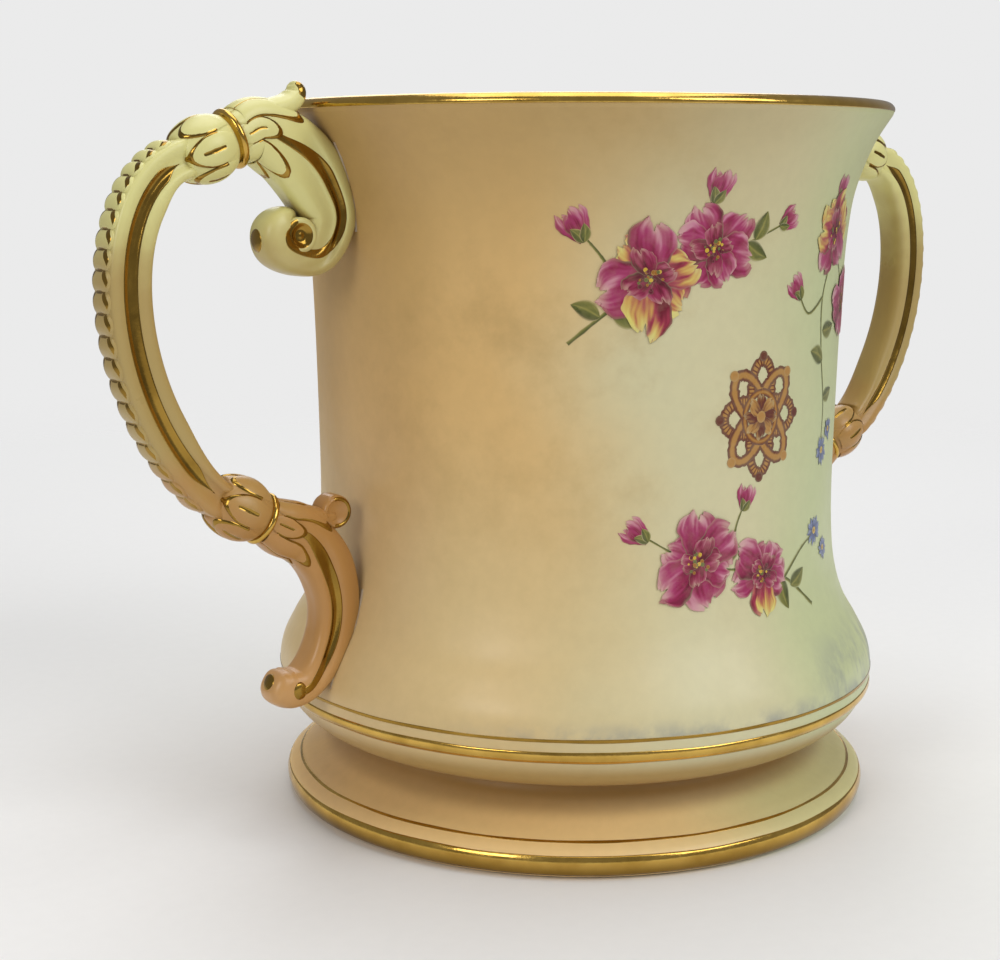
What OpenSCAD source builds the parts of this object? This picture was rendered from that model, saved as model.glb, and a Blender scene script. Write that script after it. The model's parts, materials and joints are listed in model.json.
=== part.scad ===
// Two-handled porcelain loving cup: a waisted cup on a spreading foot, with a pair of
// scroll handles stuck up with slip and with burnished gilt bands.
// Millimetres, +Z up, origin at the centre of the foot's resting ring.
// The handles lie along X, and the painted front faces -Y.

/* [Cup] */
// Height of the lip above the table
rim_z = 150; // [130:1:170]
// Outer radius of the flared lip
rim_r = 66.6; // [62:0.1:72]
// Outer radius at the waist
waist_r = 56.5; // [50:0.1:60]
// Outer radius of the bulged shoulder above the foot
shoulder_r = 66.2; // [62:0.1:72]
// Height of the widest line of the shoulder
shoulder_z = 28.5; // [26:0.5:34]
// Thickness of the cup's wall
wall_t = 3.4; // [2.5:0.1:4.5]
// Thickness of the cup's floor
floor_t = 5; // [4:0.1:7]

/* [Foot] */
// Height of the seam between cup and foot
neck_z = 16; // [14:0.5:18]
// Outer radius of the neck at the seam
neck_r = 51; // [46:0.5:54]
// Outer radius of the foot's rolled edge
foot_r = 65; // [60:0.1:70]
// Height of the foot's rolled edge
foot_edge_h = 5.6; // [4:0.1:7]
// Thickness of the foot's wall
foot_wall_t = 5; // [4:0.1:7]

/* [Gilding] */
// Thickness of the burnished gilt bands
gilt_t = 0.2; // [0.1:0.05:0.4]
// Height of the gilt on the lip
rim_gilt_h = 2.6; // [1.5:0.1:4]
// Width of the fine gilt line on the shoulder
line_w = 0.8; // [0.5:0.1:1.5]
// Width of the broad gilt band on the shoulder
band_w = 2.4; // [1.5:0.1:4]

/* [Handles] */
// Thickness of the slip seams that hold the pieces together
lute_t = 0.4; // [0.2:0.1:0.8]
// Half the width of a scroll across the handle
scroll_half_w = 4.4; // [3.5:0.1:6]
// Half the thickness of the bow, measured away from the cup
bow_half_t = 3.9; // [3:0.1:5]
// Half the width of the bow across the handle
bow_half_w = 4; // [3:0.1:5]
// Reach of the upper collar beyond the lip
collar_reach = 16.6; // [12:0.1:22]
// Reach of the lower collar beyond the waist
lower_collar_reach = 22.1; // [18:0.1:27]
// Largest radius of the leaf cups at both ends of the bow
calyx_r = 6.6; // [5.8:0.1:8]
// Length of a leaf cup
calyx_len = 10; // [8:0.1:14]
// Radius of a collar
collar_r = 6; // [5.6:0.1:7]
// Thickness of a collar
collar_t = 1.8; // [1:0.1:3]
// Number of leaves in the husk band along the bow's back
husk_count = 17; // [8:1:24]
// Height of the husks above the bow's back
husk_h = 1; // [0.5:0.1:2]

/* [Hidden] */
$fn = 96;

ivory = [0.93, 0.87, 0.62];
blush = [0.87, 0.70, 0.48];
gold = [0.72, 0.53, 0.18];
slip = [0.88, 0.80, 0.70];

// Curves
curve_steps = 6;
sweep_steps = 4;
function catmull(a, b, c, d, t) =
    0.5 * (2 * b + (c - a) * t + (2 * a - 5 * b + 4 * c - d) * t * t + (3 * b - a - 3 * c + d) * t * t * t);
function spline(p, steps = curve_steps) =
    let (last = len(p) - 1)
    [for (i = [0:last - 1], k = [0:steps - 1])
        catmull(p[max(i - 1, 0)], p[i], p[i + 1], p[min(i + 2, last)], k / steps),
     p[last]];
function mix(a, b, t) = a + (b - a) * t;
function reversed(p) = [for (i = [len(p) - 1:-1:0]) p[i]];

// Outline of the cup's outer wall, from the neck seam to the start of the lip
waist_z = mix(shoulder_z, rim_z, 0.34);
lip_z = rim_z - rim_gilt_h;
shoulder_tuck = 0.97;
function wall_point(share, z) = [mix(waist_r, shoulder_r, share), z];
function flare_point(share, z) = [mix(waist_r, rim_r, share), z];
wall_outline = spline([
    [neck_r, neck_z],
    [mix(neck_r, shoulder_r, 0.46), neck_z + 1.2],
    [mix(neck_r, shoulder_r, 0.76), mix(neck_z, shoulder_z, 0.34)],
    [shoulder_r - shoulder_tuck, mix(neck_z, shoulder_z, 0.68)],
    wall_point(1, shoulder_z),
    wall_point(0.93, shoulder_z + 5),
    wall_point(0.68, shoulder_z + 10),
    wall_point(0.38, shoulder_z + 15),
    wall_point(0.18, shoulder_z + 20.5),
    wall_point(0.05, shoulder_z + 28),
    [waist_r, waist_z],
    flare_point(0.04, mix(waist_z, rim_z, 0.32)),
    flare_point(0.1, rim_z - 36),
    flare_point(0.17, rim_z - 26),
    flare_point(0.3, rim_z - 17.8),
    flare_point(0.62, rim_z - 9),
    flare_point(1, lip_z)
]);
wall_table = [for (p = wall_outline) [p.y, p.x]];
function wall_r(z) = lookup(z, wall_table);

// The lip rolls over to the inside
lip_outline = spline([
    [rim_r, lip_z],
    [rim_r + 0.3, rim_z - 1.3],
    [rim_r - 0.5, rim_z - 0.3],
    [rim_r - wall_t / 2, rim_z],
    [rim_r - wall_t + 0.4, rim_z - 0.4],
    [rim_r - wall_t, rim_z - 1.6]
]);

// The inside follows the wall down to a flat floor
floor_z = neck_z + floor_t;
inner_outline = concat(
    [for (p = reversed(wall_outline)) if (p.y > shoulder_z && p.y < lip_z - 1) [p.x - wall_t, p.y]],
    spline([
        [shoulder_r - wall_t, shoulder_z],
        [shoulder_r - wall_t - 1, mix(floor_z, shoulder_z, 0.55)],
        [mix(neck_r, shoulder_r, 0.5) - 1, floor_z + 0.5],
        [neck_r - 2, floor_z]
    ])
);

module cup_body() {
    color(blush)
    rotate_extrude()
    polygon(concat([[0, neck_z]], wall_outline, lip_outline, inner_outline, [[0, floor_z]]));
}

// Outline of the foot's visible side, from the neck seam to the table
edge_z = foot_edge_h;
rest_r = foot_r - 3;
foot_outline = spline([
    [neck_r, neck_z - lute_t],
    [neck_r + 1.2, mix(edge_z, neck_z, 0.72)],
    [mix(neck_r, foot_r, 0.4), mix(edge_z, neck_z, 0.42)],
    [mix(neck_r, foot_r, 0.68), mix(edge_z, neck_z, 0.22)],
    [mix(neck_r, foot_r, 0.86), edge_z + 0.9],
    [foot_r - 0.5, edge_z - 0.4],
    [foot_r, edge_z * 0.6],
    [foot_r - 0.8, edge_z * 0.2],
    [rest_r, 0]
]);
foot_table = [for (p = reversed(foot_outline)) [p.y, p.x]];

module foot() {
    inner_top = neck_r - foot_wall_t;
    color(blush)
    rotate_extrude()
    polygon(concat(foot_outline, [
        [rest_r - foot_wall_t, 0],
        [rest_r - foot_wall_t - 2, edge_z * 0.6],
        [inner_top + 1, mix(edge_z, neck_z, 0.4)],
        [inner_top, neck_z - lute_t]
    ]));
}

module foot_lute() {
    color(slip)
    translate([0, 0, neck_z - lute_t])
    difference() {
        cylinder(r = neck_r, h = lute_t);
        translate([0, 0, -lute_t]) cylinder(r = neck_r - foot_wall_t, h = 3 * lute_t);
    }
}

// Gilt bands, each a thin ring that lies on the surface under it
module band_on(points) {
    color(gold)
    rotate_extrude()
    polygon(concat(points, [for (p = reversed(points)) [p.x + gilt_t, p.y]]));
}
// The stretch of an outline, as [height, radius] rows, between two heights
function strip(table, z0, z1) = concat(
    [[lookup(z0, table), z0]],
    [for (row = table) if (row[0] > z0 && row[0] < z1) [row[1], row[0]]],
    [[lookup(z1, table), z1]]
);

module rim_gilding() {
    last = len(lip_outline) - 1;
    function lip_normal(i) =
        let (d = lip_outline[min(i + 1, last)] - lip_outline[max(i - 1, 0)]) [d.y, -d.x] / norm(d);
    color(gold)
    rotate_extrude()
    polygon(concat(
        lip_outline,
        [for (i = [last:-1:0]) lip_outline[i] + gilt_t * lip_normal(i)]
    ));
}
shoulder_line_z = shoulder_z + 0.2;
shoulder_band_z = shoulder_z - 4.3;
foot_line_z = edge_z + 1.3;
module shoulder_line_gilding() { band_on(strip(wall_table, shoulder_line_z, shoulder_line_z + line_w)); }
module shoulder_band_gilding() { band_on(strip(wall_table, shoulder_band_z, shoulder_band_z + band_w)); }
module foot_line_gilding() { band_on(strip(foot_table, foot_line_z, foot_line_z + line_w * 0.6)); }
module foot_edge_gilding() { band_on(strip(foot_table, edge_z * 0.12, edge_z - 0.3)); }

// Swept solids of a handle. A path point is [distance from the axis, height, half thickness, half width].
function heading(p, i) =
    let (d = p[min(i + 1, len(p) - 1)] - p[max(i - 1, 0)]) [d[0], d[1]] / norm([d[0], d[1]]);
function turned(t) = [-t.y, t.x];
function power(v, e) = sign(v) * pow(abs(v), e);
// A ring of points round path point i, squarer as its squareness falls below 1
function ring(p, i, sides, squareness) =
    let (n = turned(heading(p, i)), c = p[i])
    [for (k = [0:sides - 1])
        let (u = power(cos(360 * k / sides), squareness) * c[2],
             v = power(sin(360 * k / sides), squareness) * c[3])
        [c[0] + n.x * u, v, c[1] + n.y * u]];
// A point that would lie inside the cup is brought out to its wall and the slip on it
function seated(q) =
    let (r = norm([q.x, q.y]), s = wall_r(q.z) + lute_t)
    r < s ? [q.x * s / r, q.y * s / r, q.z] : q;
function middle(ring_points) = [for (q = ring_points) 1] * ring_points / len(ring_points);

// A closed skin over rings that all have the same number of points
module skin(rings) {
    m = len(rings[0]);
    n = len(rings);
    points = concat([for (r = rings, q = r) q], [middle(rings[0]), middle(rings[n - 1])]);
    sides = [for (i = [0:n - 2], k = [0:m - 1])
        let (a = i * m + k, b = i * m + (k + 1) % m, c = a + m, d = b + m)
        each [[a, c, b], [b, c, d]]];
    start_cap = [for (k = [0:m - 1]) [n * m, k, (k + 1) % m]];
    end_cap = [for (k = [0:m - 1]) [n * m + 1, (n - 1) * m + (k + 1) % m, (n - 1) * m + k]];
    polyhedron(points, concat(sides, start_cap, end_cap));
}
module sweep(path, sides = 12, squareness = 0.7) {
    skin([for (i = [0:len(path) - 1]) [for (q = ring(path, i, sides, squareness)) seated(q)]]);
}

// Where the bow's two leaf cups stand, and the way they point
upper_tilt = -20;
lower_tilt = 28;
function way(tilt) = [cos(tilt), sin(tilt)];
// Path points that stand off the wall beside them, so that a scroll follows the cup
function off_wall(share, out, z, section) = concat(wall_point(share, z) + [out, 0], section);
function off_flare(share, out, z, section) = concat(flare_point(share, z) + [out, 0], section);
upper_seat = [rim_r + collar_reach, rim_z - 7.7];
lower_seat = [waist_r + lower_collar_reach, shoulder_z + 39.7];
function along(seat, tilt, s) = seat + s * way(tilt);
upper_mouth = along(upper_seat, upper_tilt, collar_t + calyx_len);
lower_mouth = along(lower_seat, lower_tilt, collar_t + calyx_len);

// The bow is one cubic curve between two short straight roots, so that its ends lie flat in the mouths
root_len = 1.2;
upper_root = along(upper_mouth, upper_tilt, root_len);
lower_root = along(lower_mouth, lower_tilt, root_len);
bow_rings = 28;
upper_pull = 18;
lower_pull = 28;
lower_leave = 41;
function bow_at(t) =
    pow(1 - t, 3) * upper_root
    + 3 * t * pow(1 - t, 2) * (upper_root + upper_pull * way(upper_tilt))
    + 3 * t * t * (1 - t) * (lower_root + lower_pull * way(lower_leave))
    + pow(t, 3) * lower_root;
bow_section = [bow_half_t, bow_half_w];
bow_path = concat(
    [concat(upper_mouth, bow_section)],
    [for (i = [0:bow_rings]) concat(bow_at(i / bow_rings), bow_section)],
    [concat(lower_mouth, bow_section)]
);

module bow() {
    color(ivory) sweep(bow_path);
}

// A row of overlapping husks along the bow's back: each swells and falls to the next
husk_rings = 5;
husk_sides = 6;
husk_half_w = bow_half_w * 0.66;
module husk_band() {
    total = husk_count * husk_rings;
    path = [for (i = [0:total]) let (c = bow_at(0.02 + 0.96 * i / total)) [c.x, c.y]];
    function swell(i) = 0.45 + 0.55 * sqrt(abs(sin(180 * i / husk_rings)));
    color(ivory)
    skin([for (i = [0:total])
        let (n = turned(heading(path, i)), s = swell(i), base = path[i] + n * bow_half_t)
        [for (k = [0:husk_sides])
            let (a = 180 * k / husk_sides, u = husk_h * s * sin(a), v = husk_half_w * (0.7 + 0.3 * s) * cos(a))
            [base.x + n.x * u, -v, base.y + n.y * u]]]);
}

// A half-round gilt rib on each side of a swept piece
rib_half_w = 1.3;
rib_h = 0.6;
rib_sides = 4;
module side_ribs(path, half_w, shift = 0) {
    for (side = [-1, 1])
    skin([for (i = [0:len(path) - 1])
        let (n = turned(heading(path, i)), c = [path[i][0], path[i][1]] + n * shift)
        [for (k = [0:rib_sides])
            let (a = 180 * k / rib_sides, u = rib_half_w * cos(a), v = half_w + rib_h * sin(a))
            [c.x + n.x * u * side, side * v, c.y + n.y * u * side]]]);
}
module bow_ribs() {
    color(gold) side_ribs([for (i = [2:bow_rings]) bow_path[i]], bow_half_w);
}

// The upper scroll leaves its collar, hugs the cup and rolls outwards round its eye
eye = flare_point(0.2, rim_z - 26) + [12.58, 0];
upper_end = [5.2, scroll_half_w + 0.4];
upper_scroll_path = concat([concat(upper_seat, upper_end)], spline([
    concat(along(upper_seat, upper_tilt, -root_len), upper_end),
    concat(along(upper_seat, upper_tilt, -4.2), [6, scroll_half_w + 0.3]),
    off_flare(1, 8.1, rim_z - 7.8, [6.8, scroll_half_w + 0.2]),
    off_flare(0.5, 7.95, rim_z - 11.6, [6.5, scroll_half_w]),
    off_flare(0.3, 6.17, rim_z - 17.6, [5.6, scroll_half_w - 0.1]),
    off_flare(0.2, 5.38, rim_z - 24, [4.6, scroll_half_w - 0.1]),
    [eye.x - 5.4, eye.y - 3.6, 3.4, scroll_half_w - 0.1],
    [eye.x - 0.6, eye.y - 5.6, 2.4, scroll_half_w],
    [eye.x + 4.4, eye.y - 3.6, 2.4, scroll_half_w],
    [eye.x + 5.8, eye.y + 0.6, 2.2, scroll_half_w],
    [eye.x + 3.6, eye.y + 3.2, 1.8, scroll_half_w - 0.1],
    [eye.x + 0.9, eye.y + 2, 1.2, scroll_half_w - 0.2]
], sweep_steps));
module upper_scroll() {
    color(ivory) sweep(upper_scroll_path);
}
module upper_scroll_rib() {
    path = [for (i = [8:len(upper_scroll_path) - 4]) upper_scroll_path[i]];
    color(gold) side_ribs(path, scroll_half_w + 0.15);
}

// A leaf tip stands up from the scroll against the lip
leaf_sides = 10;
module rim_leaf() {
    color(ivory)
    sweep(spline([
        [rim_r + 8.6, rim_z - 0.2, 0.9, 3.4],
        [rim_r + 4.8, rim_z + 0.1, 1.1, 3],
        [rim_r + 2.6, rim_z + 0.8, 1.2, 2.6],
        [rim_r + 2, rim_z + 2, 1.1, 2.2],
        [rim_r + 2.8, rim_z + 2.9, 0.5, 1.6]
    ], sweep_steps), leaf_sides, 1);
}

// The lower scroll leaves its collar, runs down the cup and turns out above the shoulder
lower_end = [5, scroll_half_w + 0.3];
lower_scroll_path = concat([concat(lower_seat, lower_end)], spline([
    concat(along(lower_seat, lower_tilt, -root_len), lower_end),
    concat(along(lower_seat, lower_tilt, -4.2), [5.4, scroll_half_w + 0.2]),
    [waist_r + 14, shoulder_z + 35.6, 6, scroll_half_w],
    [waist_r + 9.8, shoulder_z + 29.8, 5.6, scroll_half_w - 0.2],
    off_wall(0.12, 6.636, shoulder_z + 22.4, [5, scroll_half_w - 0.3]),
    off_wall(0.35, 4.405, shoulder_z + 15.6, [4.8, scroll_half_w - 0.3]),
    off_wall(0.7, 3.21, shoulder_z + 9.4, [4.2, scroll_half_w - 0.2]),
    off_wall(1, 4.5, shoulder_z + 4.8, [3.4, scroll_half_w - 0.1]),
    off_wall(1, 8.3, shoulder_z + 3.8, [3.4, scroll_half_w]),
    off_wall(0.98, 11.094, shoulder_z + 5, [2.6, scroll_half_w]),
    off_wall(1, 12.1, shoulder_z + 5.8, [0.8, scroll_half_w - 0.6])
], sweep_steps));
module lower_scroll() {
    color(blush) sweep(lower_scroll_path);
}
module lower_scroll_rib() {
    path = [for (i = [10:len(lower_scroll_path) - 10]) lower_scroll_path[i]];
    color(gold) side_ribs(path, scroll_half_w + 0.05);
}

// A small leaf curls back against the cup above the lower scroll
module lower_leaf() {
    curl = [waist_r + 5.4, shoulder_z + 40];
    color(blush)
    sweep(spline([
        [waist_r + 13, shoulder_z + 42.6, 0.8, 3.2],
        [waist_r + 9.6, shoulder_z + 41.4, 1, 3],
        [curl.x + 1.2, curl.y - 1.9, 1.1, 2.8],
        [curl.x - 1.8, curl.y - 0.6, 1.1, 2.6],
        [curl.x - 1.2, curl.y + 2, 1, 2.4],
        [curl.x + 1.4, curl.y + 1.9, 0.6, 2]
    ], sweep_steps), leaf_sides, 1);
}

// Turned pieces at both ends of the bow
module collar() {
    edge = collar_t / 2;
    color(gold)
    rotate_extrude() {
        square([collar_r - edge, collar_t]);
        translate([collar_r - edge, edge]) circle(edge);
    }
}
module calyx() {
    side = spline([
        [collar_r - 1, 0],
        [calyx_r - 0.4, calyx_len * 0.26],
        [calyx_r, calyx_len * 0.5],
        [calyx_r - 0.4, calyx_len * 0.78],
        [calyx_r - 1.2, calyx_len]
    ]);
    color(ivory)
    rotate_extrude()
    polygon(concat([[0, 0]], side, [[0, calyx_len]]));
}
module on_seat(seat, tilt, s) {
    p = along(seat, tilt, s);
    translate([p.x, 0, p.y]) rotate([0, 90 - tilt, 0]) children();
}
module upper_collar() { on_seat(upper_seat, upper_tilt, 0) collar(); }
module upper_calyx() { on_seat(upper_seat, upper_tilt, collar_t) calyx(); }
module lower_collar() { on_seat(lower_seat, lower_tilt, 0) collar(); }
module lower_calyx() { on_seat(lower_seat, lower_tilt, collar_t) calyx(); }

// Slip squeezed out between a scroll and the cup's wall
lute_rows = 8;
lute_half_w = scroll_half_w - 0.6;
module lute(z0, z1) {
    function pad_ring(z, half_w) = let (r = wall_r(z)) concat(
        [for (k = [-2:2]) let (a = k / 2 * asin(half_w / r)) [r * cos(a), r * sin(a), z]],
        [for (k = [2:-1:-2]) let (a = k / 2 * asin(half_w / r), s = r + lute_t)
            [s * cos(a), s * sin(a), z]]
    );
    color(slip)
    skin([for (i = [0:lute_rows])
        pad_ring(mix(z0, z1, i / lute_rows), lute_half_w * (0.4 + 0.6 * sin(180 * i / lute_rows)))]);
}
module upper_lute() { lute(rim_z - 30, rim_z - 11); }
module lower_lute() { lute(shoulder_z + 10, shoulder_z + 32); }

// A handle's pieces are moulded alike, so the left handle is the right one turned half round
module left() { rotate([0, 0, 180]) children(); }

cup_body();
foot();
foot_lute();
rim_gilding();
shoulder_line_gilding();
shoulder_band_gilding();
foot_line_gilding();
foot_edge_gilding();
left() upper_scroll();  // left_upper_scroll
left() upper_lute();  // left_upper_lute
left() rim_leaf();  // left_rim_leaf
left() upper_scroll_rib();  // left_upper_scroll_rib
left() upper_collar();  // left_upper_collar
left() upper_calyx();  // left_upper_calyx
left() bow();  // left_bow
left() husk_band();  // left_husk_band
left() bow_ribs();  // left_bow_ribs
left() lower_calyx();  // left_lower_calyx
left() lower_collar();  // left_lower_collar
left() lower_scroll();  // left_lower_scroll
left() lower_lute();  // left_lower_lute
left() lower_scroll_rib();  // left_lower_scroll_rib
left() lower_leaf();  // left_lower_leaf
upper_scroll();  // right_upper_scroll
upper_lute();  // right_upper_lute
rim_leaf();  // right_rim_leaf
upper_scroll_rib();  // right_upper_scroll_rib
upper_collar();  // right_upper_collar
upper_calyx();  // right_upper_calyx
bow();  // right_bow
husk_band();  // right_husk_band
bow_ribs();  // right_bow_ribs
lower_calyx();  // right_lower_calyx
lower_collar();  // right_lower_collar
lower_scroll();  // right_lower_scroll
lower_lute();  // right_lower_lute
lower_scroll_rib();  // right_lower_scroll_rib
lower_leaf();  // right_lower_leaf
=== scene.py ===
"""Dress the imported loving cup: blush-ivory glaze, burnished gilding, moulded handles and painted sprays.

Sizes are in millimetres and become metres when a mesh is made. The frame has +Z up, the handles
lie along X and the painted front faces -Y.
"""

import json
import logging
import math
from dataclasses import dataclass, field
from enum import Enum
from typing import Callable, Sequence

import bmesh
import bpy
import numpy as np
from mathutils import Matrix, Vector

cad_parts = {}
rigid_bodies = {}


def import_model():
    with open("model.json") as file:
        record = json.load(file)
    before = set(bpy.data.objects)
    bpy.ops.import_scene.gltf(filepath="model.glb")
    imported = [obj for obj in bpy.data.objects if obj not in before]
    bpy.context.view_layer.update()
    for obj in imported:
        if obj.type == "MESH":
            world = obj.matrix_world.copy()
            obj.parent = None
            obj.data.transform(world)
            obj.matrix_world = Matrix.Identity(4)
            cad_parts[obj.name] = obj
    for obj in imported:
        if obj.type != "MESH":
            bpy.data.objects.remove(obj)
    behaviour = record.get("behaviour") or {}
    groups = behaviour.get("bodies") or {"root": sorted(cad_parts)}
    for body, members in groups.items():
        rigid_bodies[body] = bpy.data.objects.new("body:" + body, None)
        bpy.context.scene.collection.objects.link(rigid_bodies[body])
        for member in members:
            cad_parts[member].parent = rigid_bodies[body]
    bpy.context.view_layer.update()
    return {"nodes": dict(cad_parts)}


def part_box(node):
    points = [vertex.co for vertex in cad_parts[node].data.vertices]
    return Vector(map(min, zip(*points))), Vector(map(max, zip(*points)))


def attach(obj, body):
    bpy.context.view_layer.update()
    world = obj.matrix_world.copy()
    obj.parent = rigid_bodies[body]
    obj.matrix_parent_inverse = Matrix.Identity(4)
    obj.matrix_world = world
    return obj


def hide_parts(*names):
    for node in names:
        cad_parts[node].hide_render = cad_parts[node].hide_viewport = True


MM = 0.001
BODY = "root"
GILT_LAYER = "gilt"
PAINT_LAYER = "paint"
LINING_LAYER = "lining"
WELD = 1e-7
SLIVER = 1e-8
LOG = logging.getLogger("loving_cup")

Colour = tuple[float, float, float]
Tones = Sequence[Colour]
Point = tuple[float, float]
Socket = bpy.types.NodeSocket
Node = bpy.types.Node
NodeTree = bpy.types.NodeTree
Material = bpy.types.Material
Surface = Callable[[np.ndarray, np.ndarray, np.ndarray], np.ndarray]


class Side(Enum):
    """The two handles, as the photograph shows them."""

    LEFT = "left"
    RIGHT = "right"

    @property
    def turn(self) -> float:
        """Angle about Z that brings the right handle's mould to this side."""
        return math.pi if self is Side.LEFT else 0.0


class Slot(Enum):
    """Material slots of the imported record."""

    GLAZE = "blush_ivory_glaze"
    IVORY = "ivory_handle_glaze"
    APRICOT = "apricot_handle_glaze"
    GILDING = "burnished_gilding"
    SLIP = "slip"


# Curves and shells


def spline(points: Sequence[Sequence[float]], steps: int) -> np.ndarray:
    """Run a smooth curve through given points.

    Args:
        points: Rows of any width, in order.
        steps: Stretches between two neighbouring points.

    Returns:
        Rows along the curve, ends included.
    """
    p = np.asarray(points, float)
    padded = np.vstack([p[:1], p, p[-1:]])
    t = np.linspace(0, 1, steps, endpoint=False)[:, None]
    parts = []
    for i in range(len(p) - 1):
        a, b, c, d = padded[i : i + 4]
        bend, twist = 2 * a - 5 * b + 4 * c - d, 3 * b - a - 3 * c + d
        parts.append(0.5 * (2 * b + (c - a) * t + bend * t**2 + twist * t**3))
    return np.vstack([*parts, p[-1:]])


def mix(a: float, b: float, share: float) -> float:
    """Go the given share of the way from a to b."""
    return a + (b - a) * share


def smooth_step(low: float, high: float, value: np.ndarray) -> np.ndarray:
    """Rise smoothly from 0 at low to 1 at high."""
    t = np.clip((np.asarray(value, float) - low) / (high - low), 0, 1)
    return t * t * (3 - 2 * t)


def wave_noise(a: np.ndarray, b: np.ndarray, seed: float) -> np.ndarray:
    """Sum a few sine waves into a soft noise.

    Args:
        a: First coordinate.
        b: Second coordinate.
        seed: Shifts the waves, so that each use differs.

    Returns:
        Values from about -1 to 1.
    """
    total = np.zeros(np.broadcast(a, b).shape)
    for k in range(1, 5):
        total = total + np.sin(1.7 * k * a + 2.3 * seed * k) * np.cos(1.3 * k * b - 1.1 * seed + k)
    return total / 2.5


def ring_angles(count: int) -> np.ndarray:
    """Angles of points set evenly round a ring."""
    return np.linspace(0, 2 * math.pi, count, endpoint=False)


def grid_faces(rows: int, cols: int, wrap: bool, start: int = 0) -> list[tuple[int, ...]]:
    """List the quads over rows of points.

    Args:
        rows: Rows of points.
        cols: Points in a row.
        wrap: Whether the last column joins the first.
        start: Number of the first point.

    Returns:
        The quads.
    """
    faces = []
    for i in range(rows - 1):
        for k in range(cols if wrap else cols - 1):
            a, b = start + i * cols + k, start + i * cols + (k + 1) % cols
            faces.append((a, b, b + cols, a + cols))
    return faces


def link(name: str, data: bpy.types.ID) -> bpy.types.Object:
    """Make an object of some data and link it to the scene.

    Args:
        name: The object's name.
        data: Its mesh, lamp or camera.

    Returns:
        The object.
    """
    made = bpy.data.objects.new(name, data)
    bpy.context.scene.collection.objects.link(made)
    return made


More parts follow.
